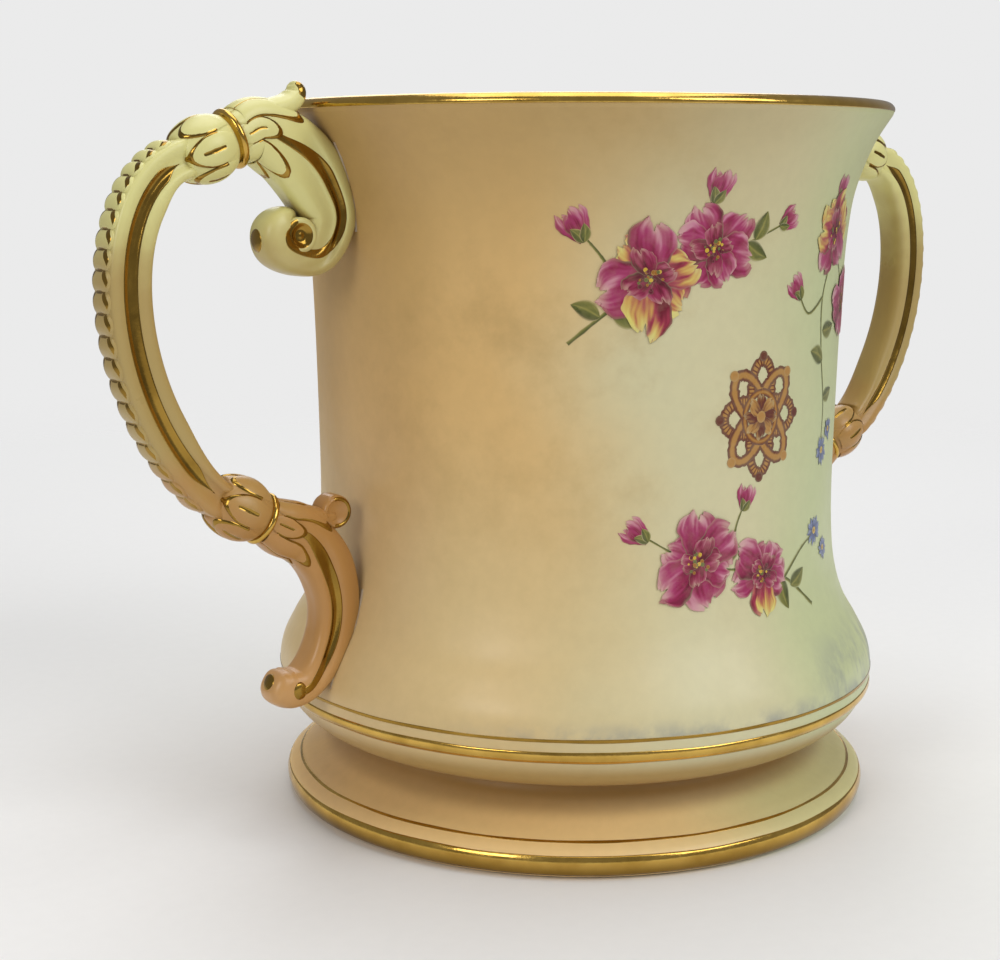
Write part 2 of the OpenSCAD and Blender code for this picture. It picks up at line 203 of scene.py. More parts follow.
@dataclass
class Shell:
    """A mesh in the making: vertices in millimetres, faces, and how gilt each vertex is."""

    verts: np.ndarray
    faces: list[tuple[int, ...]]
    gilt: np.ndarray

    @classmethod
    def grid(cls, points: np.ndarray, wrap: bool, gilt: np.ndarray | None = None) -> "Shell":
        """Lay quads over rows of points.

        Args:
            points: Array of rows by columns by 3.
            wrap: Whether the last column joins the first.
            gilt: Gilding of each point, rows by columns.

        Returns:
            The shell.
        """
        rows, cols = points.shape[:2]
        layer = np.zeros((rows, cols)) if gilt is None else np.asarray(gilt, float)
        return cls(points.reshape(-1, 3), grid_faces(rows, cols, wrap), layer.reshape(-1))

    @classmethod
    def tube(cls, rings: np.ndarray, gilt: np.ndarray | None = None) -> "Shell":
        """Close rings of points into a solid tube with capped ends.

        Args:
            rings: Array of rings by points by 3.
            gilt: Gilding of each point.

        Returns:
            The shell.
        """
        shell = cls.grid(rings, True, gilt)
        count, sides = rings.shape[:2]
        for ring, flip in ((0, True), (count - 1, False)):
            hub = len(shell.verts)
            shell.verts = np.vstack([shell.verts, rings[ring].mean(0)])
            shell.gilt = np.append(shell.gilt, shell.gilt[ring * sides : (ring + 1) * sides].mean())
            for k in range(sides):
                a, b = ring * sides + k, ring * sides + (k + 1) % sides
                shell.faces.append((hub, b, a) if flip else (hub, a, b))
        return shell

    @classmethod
    def lathe(cls, outline: np.ndarray, segments: int, closed: bool = False) -> "Shell":
        """Turn an outline of [radius, height] about Z.

        Args:
            outline: Rows of radius and height.
            segments: Steps round the axis.
            closed: Whether the outline joins its own start.

        Returns:
            The shell.
        """
        rows = np.vstack([outline, outline[:1]]) if closed else outline
        a = ring_angles(segments)
        points = np.empty((len(rows), segments, 3))
        points[..., 0] = rows[:, :1] * np.cos(a)
        points[..., 1] = rows[:, :1] * np.sin(a)
        points[..., 2] = rows[:, 1:2]
        return cls.grid(points, True)

    @classmethod
    def disc(
        cls,
        centre: np.ndarray,
        size: float,
        rows: Sequence[tuple[float, float | np.ndarray]],
        gilt: np.ndarray,
    ) -> "Shell":
        """Stack rings about a point of the handle's plane.

        Args:
            centre: The point.
            size: Radius at a share of 1.
            rows: Share of the radius and place across the handle, for each ring.
            gilt: Gilding of each point, rings by points.

        Returns:
            The shell.
        """
        ring = ring_angles(gilt.shape[1])
        points = np.empty((*gilt.shape, 3))
        for i, (share, across) in enumerate(rows):
            points[i, :, 0] = centre[0] + share * size * np.cos(ring)
            points[i, :, 1] = across
            points[i, :, 2] = centre[1] + share * size * np.sin(ring)
        return cls.grid(points, True, gilt)

    def joined(self, *others: "Shell") -> "Shell":
        """Take in other shells.

        Args:
            others: The shells to take in.

        Returns:
            One shell of them all.
        """
        parts, faces, shift = (self, *others), [], 0
        for part in parts:
            faces += [tuple(i + shift for i in face) for face in part.faces]
            shift += len(part.verts)
        verts = np.vstack([part.verts for part in parts])
        return Shell(verts, faces, np.concatenate([part.gilt for part in parts]))

    def turned(self, angle: float) -> "Shell":
        """Turn the shell about Z.

        Args:
            angle: In radians.

        Returns:
            The turned shell.
        """
        c, s = math.cos(angle), math.sin(angle)
        spin = np.array([[c, -s, 0], [s, c, 0], [0, 0, 1]])
        return Shell(self.verts @ spin.T, self.faces, self.gilt)

    def piece(self, name: str) -> bpy.types.Object:
        """Make a smooth-shaded object of the shell.

        Args:
            name: The piece's name.

        Returns:
            The object, in metres.
        """
        mesh = bpy.data.meshes.new(name)
        mesh.from_pydata((self.verts * MM).tolist(), [], self.faces)
        layer = mesh.attributes.new(GILT_LAYER, "FLOAT", "POINT")
        layer.data.foreach_set("value", self.gilt.astype(np.float32))
        work = bmesh.new()
        work.from_mesh(mesh)
        bmesh.ops.remove_doubles(work, verts=work.verts, dist=WELD)
        bmesh.ops.dissolve_degenerate(work, edges=work.edges, dist=SLIVER)
        bmesh.ops.recalc_face_normals(work, faces=work.faces)
        work.to_mesh(mesh)
        work.free()
        mesh.polygons.foreach_set("use_smooth", [True] * len(mesh.polygons))
        return link(name, mesh)


def place(piece: bpy.types.Object, slot: Slot, material: Material, *nodes: str) -> None:
    """Fix a piece to the frame and dress it.

    Args:
        piece: The object.
        slot: The record's slot; not used.
        material: Its finish.
        nodes: CAD nodes that it stands for.
    """
    piece.data.materials.clear()
    piece.data.materials.append(material)
    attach(piece, BODY)
    if nodes:
        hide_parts(*nodes)
    stands = ", ".join(nodes) or "paint"
    LOG.info("%s: %d faces, stands for %s", piece.name, len(piece.data.polygons), stands)


# Node trees


class Tree:
    """Short calls for building a node tree."""

    def __init__(self, tree: NodeTree) -> None:
        """Keep the tree."""
        self.tree = tree

    def node(self, kind: str, **settings: object) -> Node:
        """Add a node and set its properties.

        Args:
            kind: The node's type.
            settings: Its properties.

        Returns:
            The node.
        """
        made = self.tree.nodes.new(kind)
        for key, value in settings.items():
            setattr(made, key, value)
        return made

    def feed(self, socket: Socket, value: object) -> None:
        """Link a socket to a value, or set it.

        Args:
            socket: An input.
            value: A socket to link it to, or a value to set.
        """
        if isinstance(value, Socket):
            self.tree.links.new(value, socket)
        elif isinstance(value, tuple) and len(value) == 3 and socket.type == "RGBA":
            socket.default_value = (*value, 1.0)
        else:
            socket.default_value = value

    def fed(self, kind: str, values: dict, **settings: object) -> Node:
        """Add a node, set its properties, and feed its inputs by name or number.

        Args:
            kind: The node's type.
            values: What each input is fed, by its name or number.
            settings: Its properties.

        Returns:
            The node.
        """
        made = self.node(kind, **settings)
        for key, value in values.items():
            self.feed(made.inputs[key], value)
        return made

    def math(self, operation: str, *values: object) -> Socket:
        """Work out a value."""
        return self.fed("ShaderNodeMath", dict(enumerate(values)), operation=operation).outputs[0]

    def times(self, product: object, *others: object) -> Socket:
        """Multiply values.

        Args:
            product: The first value.
            others: The rest.

        Returns:
            Their product.
        """
        for other in others:
            product = self.math("MULTIPLY", product, other)
        return product

    def span(
        self, value: object, low: float, high: float, to_low: float = 0.0, to_high: float = 1.0
    ) -> Socket:
        """Map a value smoothly from one range to another, clamped."""
        ends = {"Value": value, "From Min": low, "From Max": high, "To Min": to_low, "To Max": to_high}
        return self.fed("ShaderNodeMapRange", ends, interpolation_type="SMOOTHSTEP").outputs[0]

    def blend(self, factor: object, a: object, b: object, kind: str = "MIX") -> Socket:
        """Mix two colours."""
        values = {0: factor, 6: a, 7: b}
        return self.fed("ShaderNodeMix", values, data_type="RGBA", blend_type=kind).outputs[2]

    def noise(self, vector: object, scale: float, detail: float = 3.0, rough: float = 0.55) -> Socket:
        """Sample a cloudy noise."""
        values = {"Vector": vector, "Scale": scale, "Detail": detail, "Roughness": rough}
        return self.fed("ShaderNodeTexNoise", values).outputs[0]

    def split(self, vector: Socket) -> list[Socket]:
        """Give a vector's three parts."""
        return list(self.fed("ShaderNodeSeparateXYZ", {0: vector}).outputs)

    def grey(self, value: Socket) -> Socket:
        """Make a grey of a value."""
        return self.fed("ShaderNodeCombineColor", {0: value, 1: value, 2: value}).outputs[0]

    def place(self) -> Socket:
        """Give a point's place in the frame, in metres."""
        return self.node("ShaderNodeTexCoord").outputs["Object"]

    def attribute(self, name: str) -> Node:
        """Read a mesh attribute."""
        return self.node("ShaderNodeAttribute", attribute_name=name)

    def use(self, group: NodeTree, **values: object) -> Node:
        """Place a node group with its own values."""
        return self.fed("ShaderNodeGroup", values, node_tree=group)


def new_group(
    name: str, inputs: Sequence[tuple[str, str, object]], outputs: Sequence[tuple[str, str]]
) -> tuple[NodeTree, Tree, Node, Node]:
    """Start a shader node group.

    Args:
        name: The group's name.
        inputs: Name, socket type and default of each input.
        outputs: Name and socket type of each output.

    Returns:
        The group, its helper, its input node and its output node.
    """
    group = bpy.data.node_groups.new(name, "ShaderNodeTree")
    for label, kind, default in inputs:
        made = group.interface.new_socket(label, in_out="INPUT", socket_type=kind)
        made.default_value = (*default, 1.0) if isinstance(default, tuple) else default
    for label, kind in outputs:
        group.interface.new_socket(label, in_out="OUTPUT", socket_type=kind)
    tree = Tree(group)
    return group, tree, tree.node("NodeGroupInput"), tree.node("NodeGroupOutput")


FLOAT, COLOUR = "NodeSocketFloat", "NodeSocketColor"
BUMP = 0.6


@dataclass(frozen=True)
class BlushTones:
    """Colours of the shaded ivory ground."""

    ivory: Colour = (0.655, 0.61, 0.375)
    pale_green: Colour = (0.555, 0.60, 0.33)
    peach: Colour = (0.74, 0.485, 0.19)
    cream: Colour = (0.71, 0.535, 0.26)
    # The brush's tan, also used as painted shade under the lip and the shoulder
    tan: Colour = (0.42, 0.27, 0.085)
    # Painted shade for the neck under the shoulder
    rust: Colour = (0.36, 0.185, 0.05)
    mauve: Colour = (0.54, 0.34, 0.18)
    # The foot tones are the blush's peach and green, lightened as painted light against the shoulder's
    # shadow
    foot_green: Colour = (0.64, 0.57, 0.26)
    foot_peach: Colour = (0.90, 0.60, 0.25)
    slate: Colour = (0.25, 0.27, 0.27)


class Effects:
    """Node groups that several finishes share, built once."""

    def __init__(self, tones: BlushTones) -> None:
        """Build the groups.

        Args:
            tones: Colours of the ground.
        """
        self.blush = self._blush(tones)
        self.rub = self._rub()
        self.glaze = self._glaze()

    @staticmethod
    def _blush(tones: BlushTones) -> NodeTree:
        """Colour the ground by place: peach by one handle, ivory in front, greener by the other, with
        painted shade under the lip, the shoulder and in the neck, and the foot painted lighter as painted
        light.

        Args:
            tones: Colours of the ground.

        Returns:
            The group.
        """
        group, t, _, out = new_group("blush_ground", [], [("Color", COLOUR)])
        where = t.place()
        x, y, z = t.split(where)
        square = t.math("ADD", t.times(x, x), t.times(y, y))
        radius = t.math("MAXIMUM", t.math("SQRT", square), 0.001)
        across = t.math("DIVIDE", x, radius)
        cloud = t.noise(where, 19.0, 2.5, 0.45)
        sway = t.math("ADD", across, t.times(t.math("SUBTRACT", cloud, 0.5), 0.6))
        colour = t.blend(t.span(sway, -0.14, 0.42), tones.ivory, tones.pale_green)
        left = t.span(sway, -0.28, -0.80)
        right = t.times(t.span(sway, 0.66, 1.2), 0.9)
        warm = t.blend(t.span(z, 0.098, 0.048), tones.peach, tones.cream)
        colour = t.blend(t.math("MAXIMUM", left, right), colour, warm)
        # Under the lip the ground turns tan, partly the brush's colour and partly painted shade where the
        # flare faces down; beside the handles the brush left more tan
        lip = t.times(t.span(z, 0.108, 0.148), t.span(t.noise(where, 14.0), 0.2, 0.7, 0.5, 0.9))
        colour = t.blend(t.times(lip, t.span(sway, 0.55, -0.5, 0.2, 0.7)), colour, tones.tan)
        near = t.span(t.math("ABSOLUTE", across), 0.88, 1.0)
        colour = t.blend(t.times(near, t.span(z, 0.07, 0.125, 0.0, 0.55)), colour, tones.tan)
        # Painted shade: tan under the shoulder, where its underside faces down
        under = t.times(t.span(z, 0.0250, 0.0205, 0.0, 0.88), t.span(z, 0.0112, 0.0135))
        colour = t.blend(under, colour, tones.tan)
        # The foot is painted lighter, peach by one handle and green by the other: the blush's colour,
        # lightened as painted light against the shoulder's shadow
        foot = t.blend(t.span(sway, 0.15, -0.6), tones.foot_green, tones.foot_peach)
        colour = t.blend(t.span(z, 0.0128, 0.0098, 0.0, 0.8), colour, foot)
        # Painted shade: rust-brown in the neck, under the shoulder's overhang
        neck = t.times(t.span(z, 0.0092, 0.0118, 0.0, 0.6), t.span(z, 0.0205, 0.0155))
        colour = t.blend(neck, colour, tones.rust)
        # Smudges of the brush
        smudge = t.span(t.noise(where, 36.0, 6.0, 0.66), 0.46, 0.74)
        smudge = t.times(smudge, t.span(z, 0.045, 0.1, 0.25, 1.0), t.span(sway, 0.3, -0.4, 0.06, 0.42))
        colour = t.blend(smudge, colour, tones.tan)
        # A mauve breath where the handles stand
        colour = t.blend(t.times(near, t.span(cloud, 0.3, 0.75, 0.1, 0.38)), colour, tones.mauve)
        # Cloudy dabs along the shoulder line in front, rising in streaks towards one handle
        drawn = t.fed("ShaderNodeVectorMath", {0: where, 1: (1.0, 1.0, 0.4)}, operation="MULTIPLY")
        front = t.span(y, 0.012, -0.012)
        fine = t.span(t.noise(where, 120.0, 4.0, 0.62), 0.33, 0.66)
        streaks = t.span(t.noise(drawn.outputs[0], 95.0, 5.0, 0.66), 0.40, 0.62)
        low = t.times(t.span(z, 0.0334, 0.0291), t.span(across, -0.97, -0.55, 0.0, 0.8))
        rise = t.times(t.span(z, 0.045, 0.032), t.span(across, 0.08, 0.40), t.span(across, 0.88, 0.62))
        dab = t.math("MAXIMUM", t.times(low, fine), t.times(rise, streaks))
        dab = t.times(dab, front, t.span(z, 0.0286, 0.0291), 0.8)
        colour = t.blend(dab, colour, tones.slate)
        # Fine speckle of the fired glaze
        speck = t.grey(t.span(t.noise(where, 420.0, 2.0), 0.25, 0.75, 0.98, 1.015))
        t.feed(out.inputs["Color"], t.blend(1.0, colour, speck, "MULTIPLY"))
        return group

    @staticmethod
    def _rub() -> NodeTree:
        """Say where gilding is rubbed through, and how rough it is.

        Returns:
            The group.
        """
        group, t, given, out = new_group(
            "rubbed_gilding",
            [("Wear", FLOAT, 0.3)],
            [("Rub", FLOAT), ("Tone", FLOAT), ("Roughness", FLOAT)],
        )
        where = t.place()
        fine = t.noise(where, 700.0, 5.0, 0.7)
        broad = t.noise(where, 60.0, 3.0, 0.6)
        patch = t.math("ADD", t.times(fine, 0.55), t.times(broad, 0.45))
        limit = t.math("SUBTRACT", 0.80, t.times(given.outputs["Wear"], 0.42))
        t.feed(out.inputs["Rub"], t.span(t.math("SUBTRACT", patch, limit), 0.0, 0.05))
        t.feed(out.inputs["Tone"], t.span(t.noise(where, 120.0, 3.0, 0.5), 0.2, 0.7))
        t.feed(out.inputs["Roughness"], t.span(t.noise(where, 330.0, 4.0, 0.7), 0.3, 0.75, 0.11, 0.25))
        return group

    @staticmethod
    def _glaze() -> NodeTree:
        """Give a satin glaze its uneven gloss and its faint ripple.

        Returns:
            The group.
        """
        group, t, given, out = new_group(
            "satin_glaze",
            [("Matt", FLOAT, 0.34)],
            [("Roughness", FLOAT), ("Height", FLOAT)],
        )
        where = t.place()
        gloss = t.span(t.noise(where, 75.0, 4.0), 0.3, 0.7, -0.06, 0.07)
        t.feed(out.inputs["Roughness"], t.math("ADD", given.outputs["Matt"], gloss))
        ripple = t.times(t.noise(where, 130.0, 3.0), 0.7)
        grain = t.times(t.noise(where, 900.0, 2.0), 0.3)
        t.feed(out.inputs["Height"], t.math("ADD", ripple, grain))
        return group


@dataclass(frozen=True)
class Finish:
    """A finish, from which a material is made: its gloss, and the depth of its ripple in metres."""

    name: str
    matt: float = 0.34
    depth: float = 0.0001

    def begin(self) -> tuple[Material, Tree, Node]:
        """Start a material.

        Returns:
            The material, its tree helper and its shader.
        """
        material = bpy.data.materials.new(self.name)
        material.use_nodes = True
        tree = Tree(material.node_tree)
        return material, tree, material.node_tree.nodes["Principled BSDF"]

    def ripple(self, tree: Tree, shader: Node, height: Socket) -> None:
        """Bump the shader's normal by a height over the surface."""
        bump = tree.fed("ShaderNodeBump", {"Strength": BUMP, "Distance": self.depth, "Height": height})
        tree.feed(shader.inputs["Normal"], bump.outputs[0])

    def satin(self, tree: Tree, shader: Node, group: NodeTree) -> None:
        """Give the shader a satin glaze's gloss and ripple.

        Args:
            tree: The material's tree.
            shader: Its shader.
            group: The glaze's node group.
        """
        glaze = tree.use(group, Matt=self.matt)
        tree.feed(shader.inputs["Roughness"], glaze.outputs["Roughness"])
        self.ripple(tree, shader, glaze.outputs["Height"])


@dataclass(frozen=True)
class BlushGlaze(Finish):
    """The cup's shaded ivory glaze."""

    matt: float = 0.40
    depth: float = 0.00006
    shine: float = 0.42
    cream: Colour = (0.71, 0.61, 0.40)
    ivory: Colour = (0.75, 0.68, 0.47)

    def make(self, effects: Effects) -> Material:
        """Make the material.

        Args:
            effects: The shared node groups.

        Returns:
            The material.
        """
        material, t, shader = self.begin()
        lining = t.blend(t.span(t.noise(t.place(), 22.0), 0.3, 0.7), self.cream, self.ivory)
        inside = t.attribute(LINING_LAYER).outputs["Fac"]
        t.feed(shader.inputs["Base Color"], t.blend(inside, t.use(effects.blush).outputs[0], lining))
        shader.inputs["Specular IOR Level"].default_value = self.shine
        self.satin(t, shader, effects.glaze)
        return material


@dataclass(frozen=True)
class Gold:
    """Colours of burnished gilding."""

    bright: Colour = (0.70, 0.45, 0.105)
    brown: Colour = (0.48, 0.285, 0.052)


DARK_GOLD = Gold((0.39, 0.235, 0.045), (0.25, 0.145, 0.025))


@dataclass(frozen=True)
class BandGilding(Finish):
    """Gilding painted over the ground, rubbed in use."""

    wear: float = 0.3
    gold: Gold = field(default_factory=Gold)
    # A painted dark reflection for the gilding next to the table
    dark_reflection: Colour = (0.22, 0.125, 0.025)

    def make(self, effects: Effects) -> Material:
        """Make the material.

        Args:
            effects: The shared node groups.

        Returns:
            The material.
        """
        material, t, shader = self.begin()
        rub = t.use(effects.rub, Wear=self.wear)
        metal = t.blend(rub.outputs["Tone"], self.gold.brown, self.gold.bright)
        # Painted dark reflection: next to the table the gilding is darkened towards a dark brown
        height = t.split(t.place())[2]
        metal = t.blend(t.span(height, 0.0042, 0.0012, 0.0, 0.85), metal, self.dark_reflection)
        ground = t.use(effects.blush).outputs[0]
        t.feed(shader.inputs["Base Color"], t.blend(rub.outputs["Rub"], metal, ground))
        t.feed(shader.inputs["Metallic"], t.math("SUBTRACT", 1.0, rub.outputs["Rub"]))
        t.feed(shader.inputs["Roughness"], rub.outputs["Roughness"])
        glaze = t.use(effects.glaze)
        self.ripple(t, shader, glaze.outputs["Height"])
        return material


@dataclass(frozen=True)
class HandleGlaze(Finish):
    """The handles' glaze, ivory above and apricot below, with painted shade in its hollows and gilt lines
    where the mesh says so.
    """

    ivory: Colour = (0.74, 0.70, 0.29)
    wash: Colour = (0.45, 0.325, 0.115)
    apricot: Colour = (0.47, 0.24, 0.07)
    tip: Colour = (0.57, 0.315, 0.115)
    # Painted shade for the hollows of the moulding
    hollow_shade: Colour = (0.32, 0.20, 0.05)
    wear: float = 0.25
    matt: float = 0.33
    shine: float = 0.45
    gold: Gold = field(default_factory=Gold)

    def make(self, effects: Effects) -> Material:
        """Make the material.

        Args:
            effects: The shared node groups.

        Returns:
            The material.
        """
        material, t, shader = self.begin()
        where = t.place()
        cloud = t.times(t.math("SUBTRACT", t.noise(where, 55.0, 4.0), 0.5), 0.03)
        height = t.math("ADD", t.split(where)[2], cloud)
        ground = t.blend(t.span(height, 0.133, 0.110), self.ivory, self.wash)
        ground = t.blend(t.span(height, 0.086, 0.068), ground, self.apricot)
        ground = t.blend(t.span(height, 0.052, 0.034), ground, self.tip)
        # Painted shade: the ground darkens where ambient occlusion finds hollows in the moulding
        occlusion = t.fed("ShaderNodeAmbientOcclusion", {"Distance": 0.006}, samples=8)
        ground = t.blend(t.span(occlusion.outputs["AO"], 0.75, 0.1, 0.0, 0.65), ground, self.hollow_shade)
        rub = t.use(effects.rub, Wear=self.wear)
        line = t.span(t.attribute(GILT_LAYER).outputs["Fac"], 0.4, 0.6)
        gilt = t.times(line, t.math("SUBTRACT", 1.0, rub.outputs["Rub"]))
        metal = t.blend(rub.outputs["Tone"], self.gold.brown, self.gold.bright)
        glaze = t.use(effects.glaze, Matt=self.matt)
        t.feed(shader.inputs["Base Color"], t.blend(gilt, ground, metal))
        t.feed(shader.inputs["Metallic"], gilt)
        ends = {0: gilt, 2: glaze.outputs["Roughness"], 3: rub.outputs["Roughness"]}
        t.feed(shader.inputs["Roughness"], t.fed("ShaderNodeMix", ends, data_type="FLOAT").outputs[0])
        shader.inputs["Specular IOR Level"].default_value = self.shine
        self.ripple(t, shader, glaze.outputs["Height"])
        return material


@dataclass(frozen=True)
class FiredSlip(Finish):
    """Pale slip that holds the handles."""

    pale: Colour = (0.48, 0.40, 0.29)
    rosy: Colour = (0.43, 0.31, 0.19)
    matt: float = 0.4
    depth: float = 0.0002

    def make(self, effects: Effects) -> Material:
        """Make the material.

        Args:
            effects: The shared node groups.

        Returns:
            The material.
        """
        material, t, shader = self.begin()
        patch = t.span(t.noise(t.place(), 160.0), 0.35, 0.65)
        t.feed(shader.inputs["Base Color"], t.blend(patch, self.pale, self.rosy))
        self.satin(t, shader, effects.glaze)
        return material


@dataclass(frozen=True)
class Enamel(Finish):
    """Painted colours that thin out to the ground at their edges."""

    matt: float = 0.32
    depth: float = 0.00012

    def make(self, effects: Effects) -> Material:
        """Make the material.

        Args:
            effects: The shared node groups.

        Returns:
            The material.
        """
        material, t, shader = self.begin()
        paint = t.attribute(PAINT_LAYER)
        thin = t.span(t.noise(t.place(), 420.0, 3.0, 0.6), 0.3, 0.7, 0.93, 1.04)
        cover = t.math("MINIMUM", t.times(paint.outputs["Alpha"], thin), 1.0)
        ground = t.use(effects.blush).outputs[0]
        t.feed(shader.inputs["Base Color"], t.blend(cover, ground, paint.outputs["Color"]))
        self.satin(t, shader, effects.glaze)
        return material


# The cup


@dataclass(frozen=True)
class CupSizes:
    """Sizes of the turned cup and foot."""

    rim_z: float = 150.0
    rim_r: float = 66.6
    waist_r: float = 56.5
    shoulder_r: float = 66.2
    shoulder_z: float = 28.5
    wall_t: float = 3.4
    floor_t: float = 5.0
    neck_z: float = 16.0
    neck_r: float = 51.0
    foot_r: float = 65.0
    edge_z: float = 5.6
    foot_wall_t: float = 5.0
    lip_h: float = 2.6
    line_up: float = 0.2
    line_h: float = 0.62
    band_down: float = 4.3
    band_h: float = 2.5
    foot_line_up: float = 1.4
    foot_line_h: float = 0.28
    steps: int = 12

    @property
    def lip_z(self) -> float:
        """Height at which the lip begins."""
        return self.rim_z - self.lip_h

    def wall(self) -> np.ndarray:
        """Outline of the outer wall, from the neck to the lip.

        Returns:
            Rows of radius and height.
        """
        s = self
        waist_z = mix(s.shoulder_z, s.rim_z, 0.34)
        bulge = [(0.93, 5), (0.68, 10), (0.38, 15), (0.18, 20.5), (0.05, 28)]
        flare = [(0.1, 36), (0.17, 26), (0.3, 17.8), (0.62, 9), (1.0, s.lip_h)]
        rows = [
            (s.neck_r, s.neck_z),
            (mix(s.neck_r, s.shoulder_r, 0.46), s.neck_z + 1.2),
            (mix(s.neck_r, s.shoulder_r, 0.76), mix(s.neck_z, s.shoulder_z, 0.34)),
            (mix(s.waist_r, s.shoulder_r, 0.9), mix(s.neck_z, s.shoulder_z, 0.68)),
            (s.shoulder_r, s.shoulder_z),
            *[(mix(s.waist_r, s.shoulder_r, share), s.shoulder_z + up) for share, up in bulge],
            (s.waist_r, waist_z),
            (mix(s.waist_r, s.rim_r, 0.04), mix(waist_z, s.rim_z, 0.32)),
            *[(mix(s.waist_r, s.rim_r, share), s.rim_z - down) for share, down in flare],
        ]
        return spline(rows, s.steps)

    def lip(self) -> np.ndarray:
        """Outline of the rolled lip, from outside to inside.

        Returns:
            Rows of radius and height.
        """
        s = self
        rows = [
            (s.rim_r, s.lip_z),
            (s.rim_r + 0.3, s.rim_z - 1.3),
            (s.rim_r - 0.5, s.rim_z - 0.3),
            (s.rim_r - s.wall_t / 2, s.rim_z),
            (s.rim_r - s.wall_t + 0.4, s.rim_z - 0.4),
            (s.rim_r - s.wall_t, s.rim_z - 1.6),
        ]
        return spline(rows, s.steps)

    def inside(self) -> np.ndarray:
        """Outline of the inside, from the lip to the floor.

        Returns:
            Rows of radius and height.
        """
        s = self
        floor_z = s.neck_z + s.floor_t
        # Plain and mostly hidden, the inside does with every fourth row
        rows = s.wall()[::-4]
        down = np.array([(r - s.wall_t, z) for r, z in rows if s.shoulder_z < z < s.lip_z - 1])
        rows = [
            (s.shoulder_r - s.wall_t, s.shoulder_z),
            (s.shoulder_r - s.wall_t - 1, mix(floor_z, s.shoulder_z, 0.55)),
            (mix(s.neck_r, s.shoulder_r, 0.5) - 1, floor_z + 0.5),
            (s.neck_r - 2, floor_z),
            (s.neck_r * 0.5, floor_z),
            (0, floor_z),
        ]
        bottom = spline(rows, s.steps // 2)
        return np.vstack([down, bottom])

    def foot_side(self) -> np.ndarray:
        """Outline of the foot's visible side, from the neck to the table.

        Returns:
            Rows of radius and height.
        """
        s = self
        rows = [
            (s.neck_r, s.neck_z - 0.1),
            (s.neck_r + 1.2, mix(s.edge_z, s.neck_z, 0.72)),
            (mix(s.neck_r, s.foot_r, 0.4), mix(s.edge_z, s.neck_z, 0.42)),
            (mix(s.neck_r, s.foot_r, 0.68), mix(s.edge_z, s.neck_z, 0.22)),
            (mix(s.neck_r, s.foot_r, 0.86), s.edge_z + 0.9),
            (s.foot_r - 0.5, s.edge_z - 0.4),
            (s.foot_r, s.edge_z * 0.6),
            (s.foot_r - 0.8, s.edge_z * 0.2),
            (s.foot_r - 3, 0),
        ]
        return spline(rows, s.steps)

    def wall_radius(self, z: np.ndarray) -> np.ndarray:
        """Outer radius of the wall at a height."""
        rows = self.wall()
        return np.interp(z, rows[:, 1], rows[:, 0])


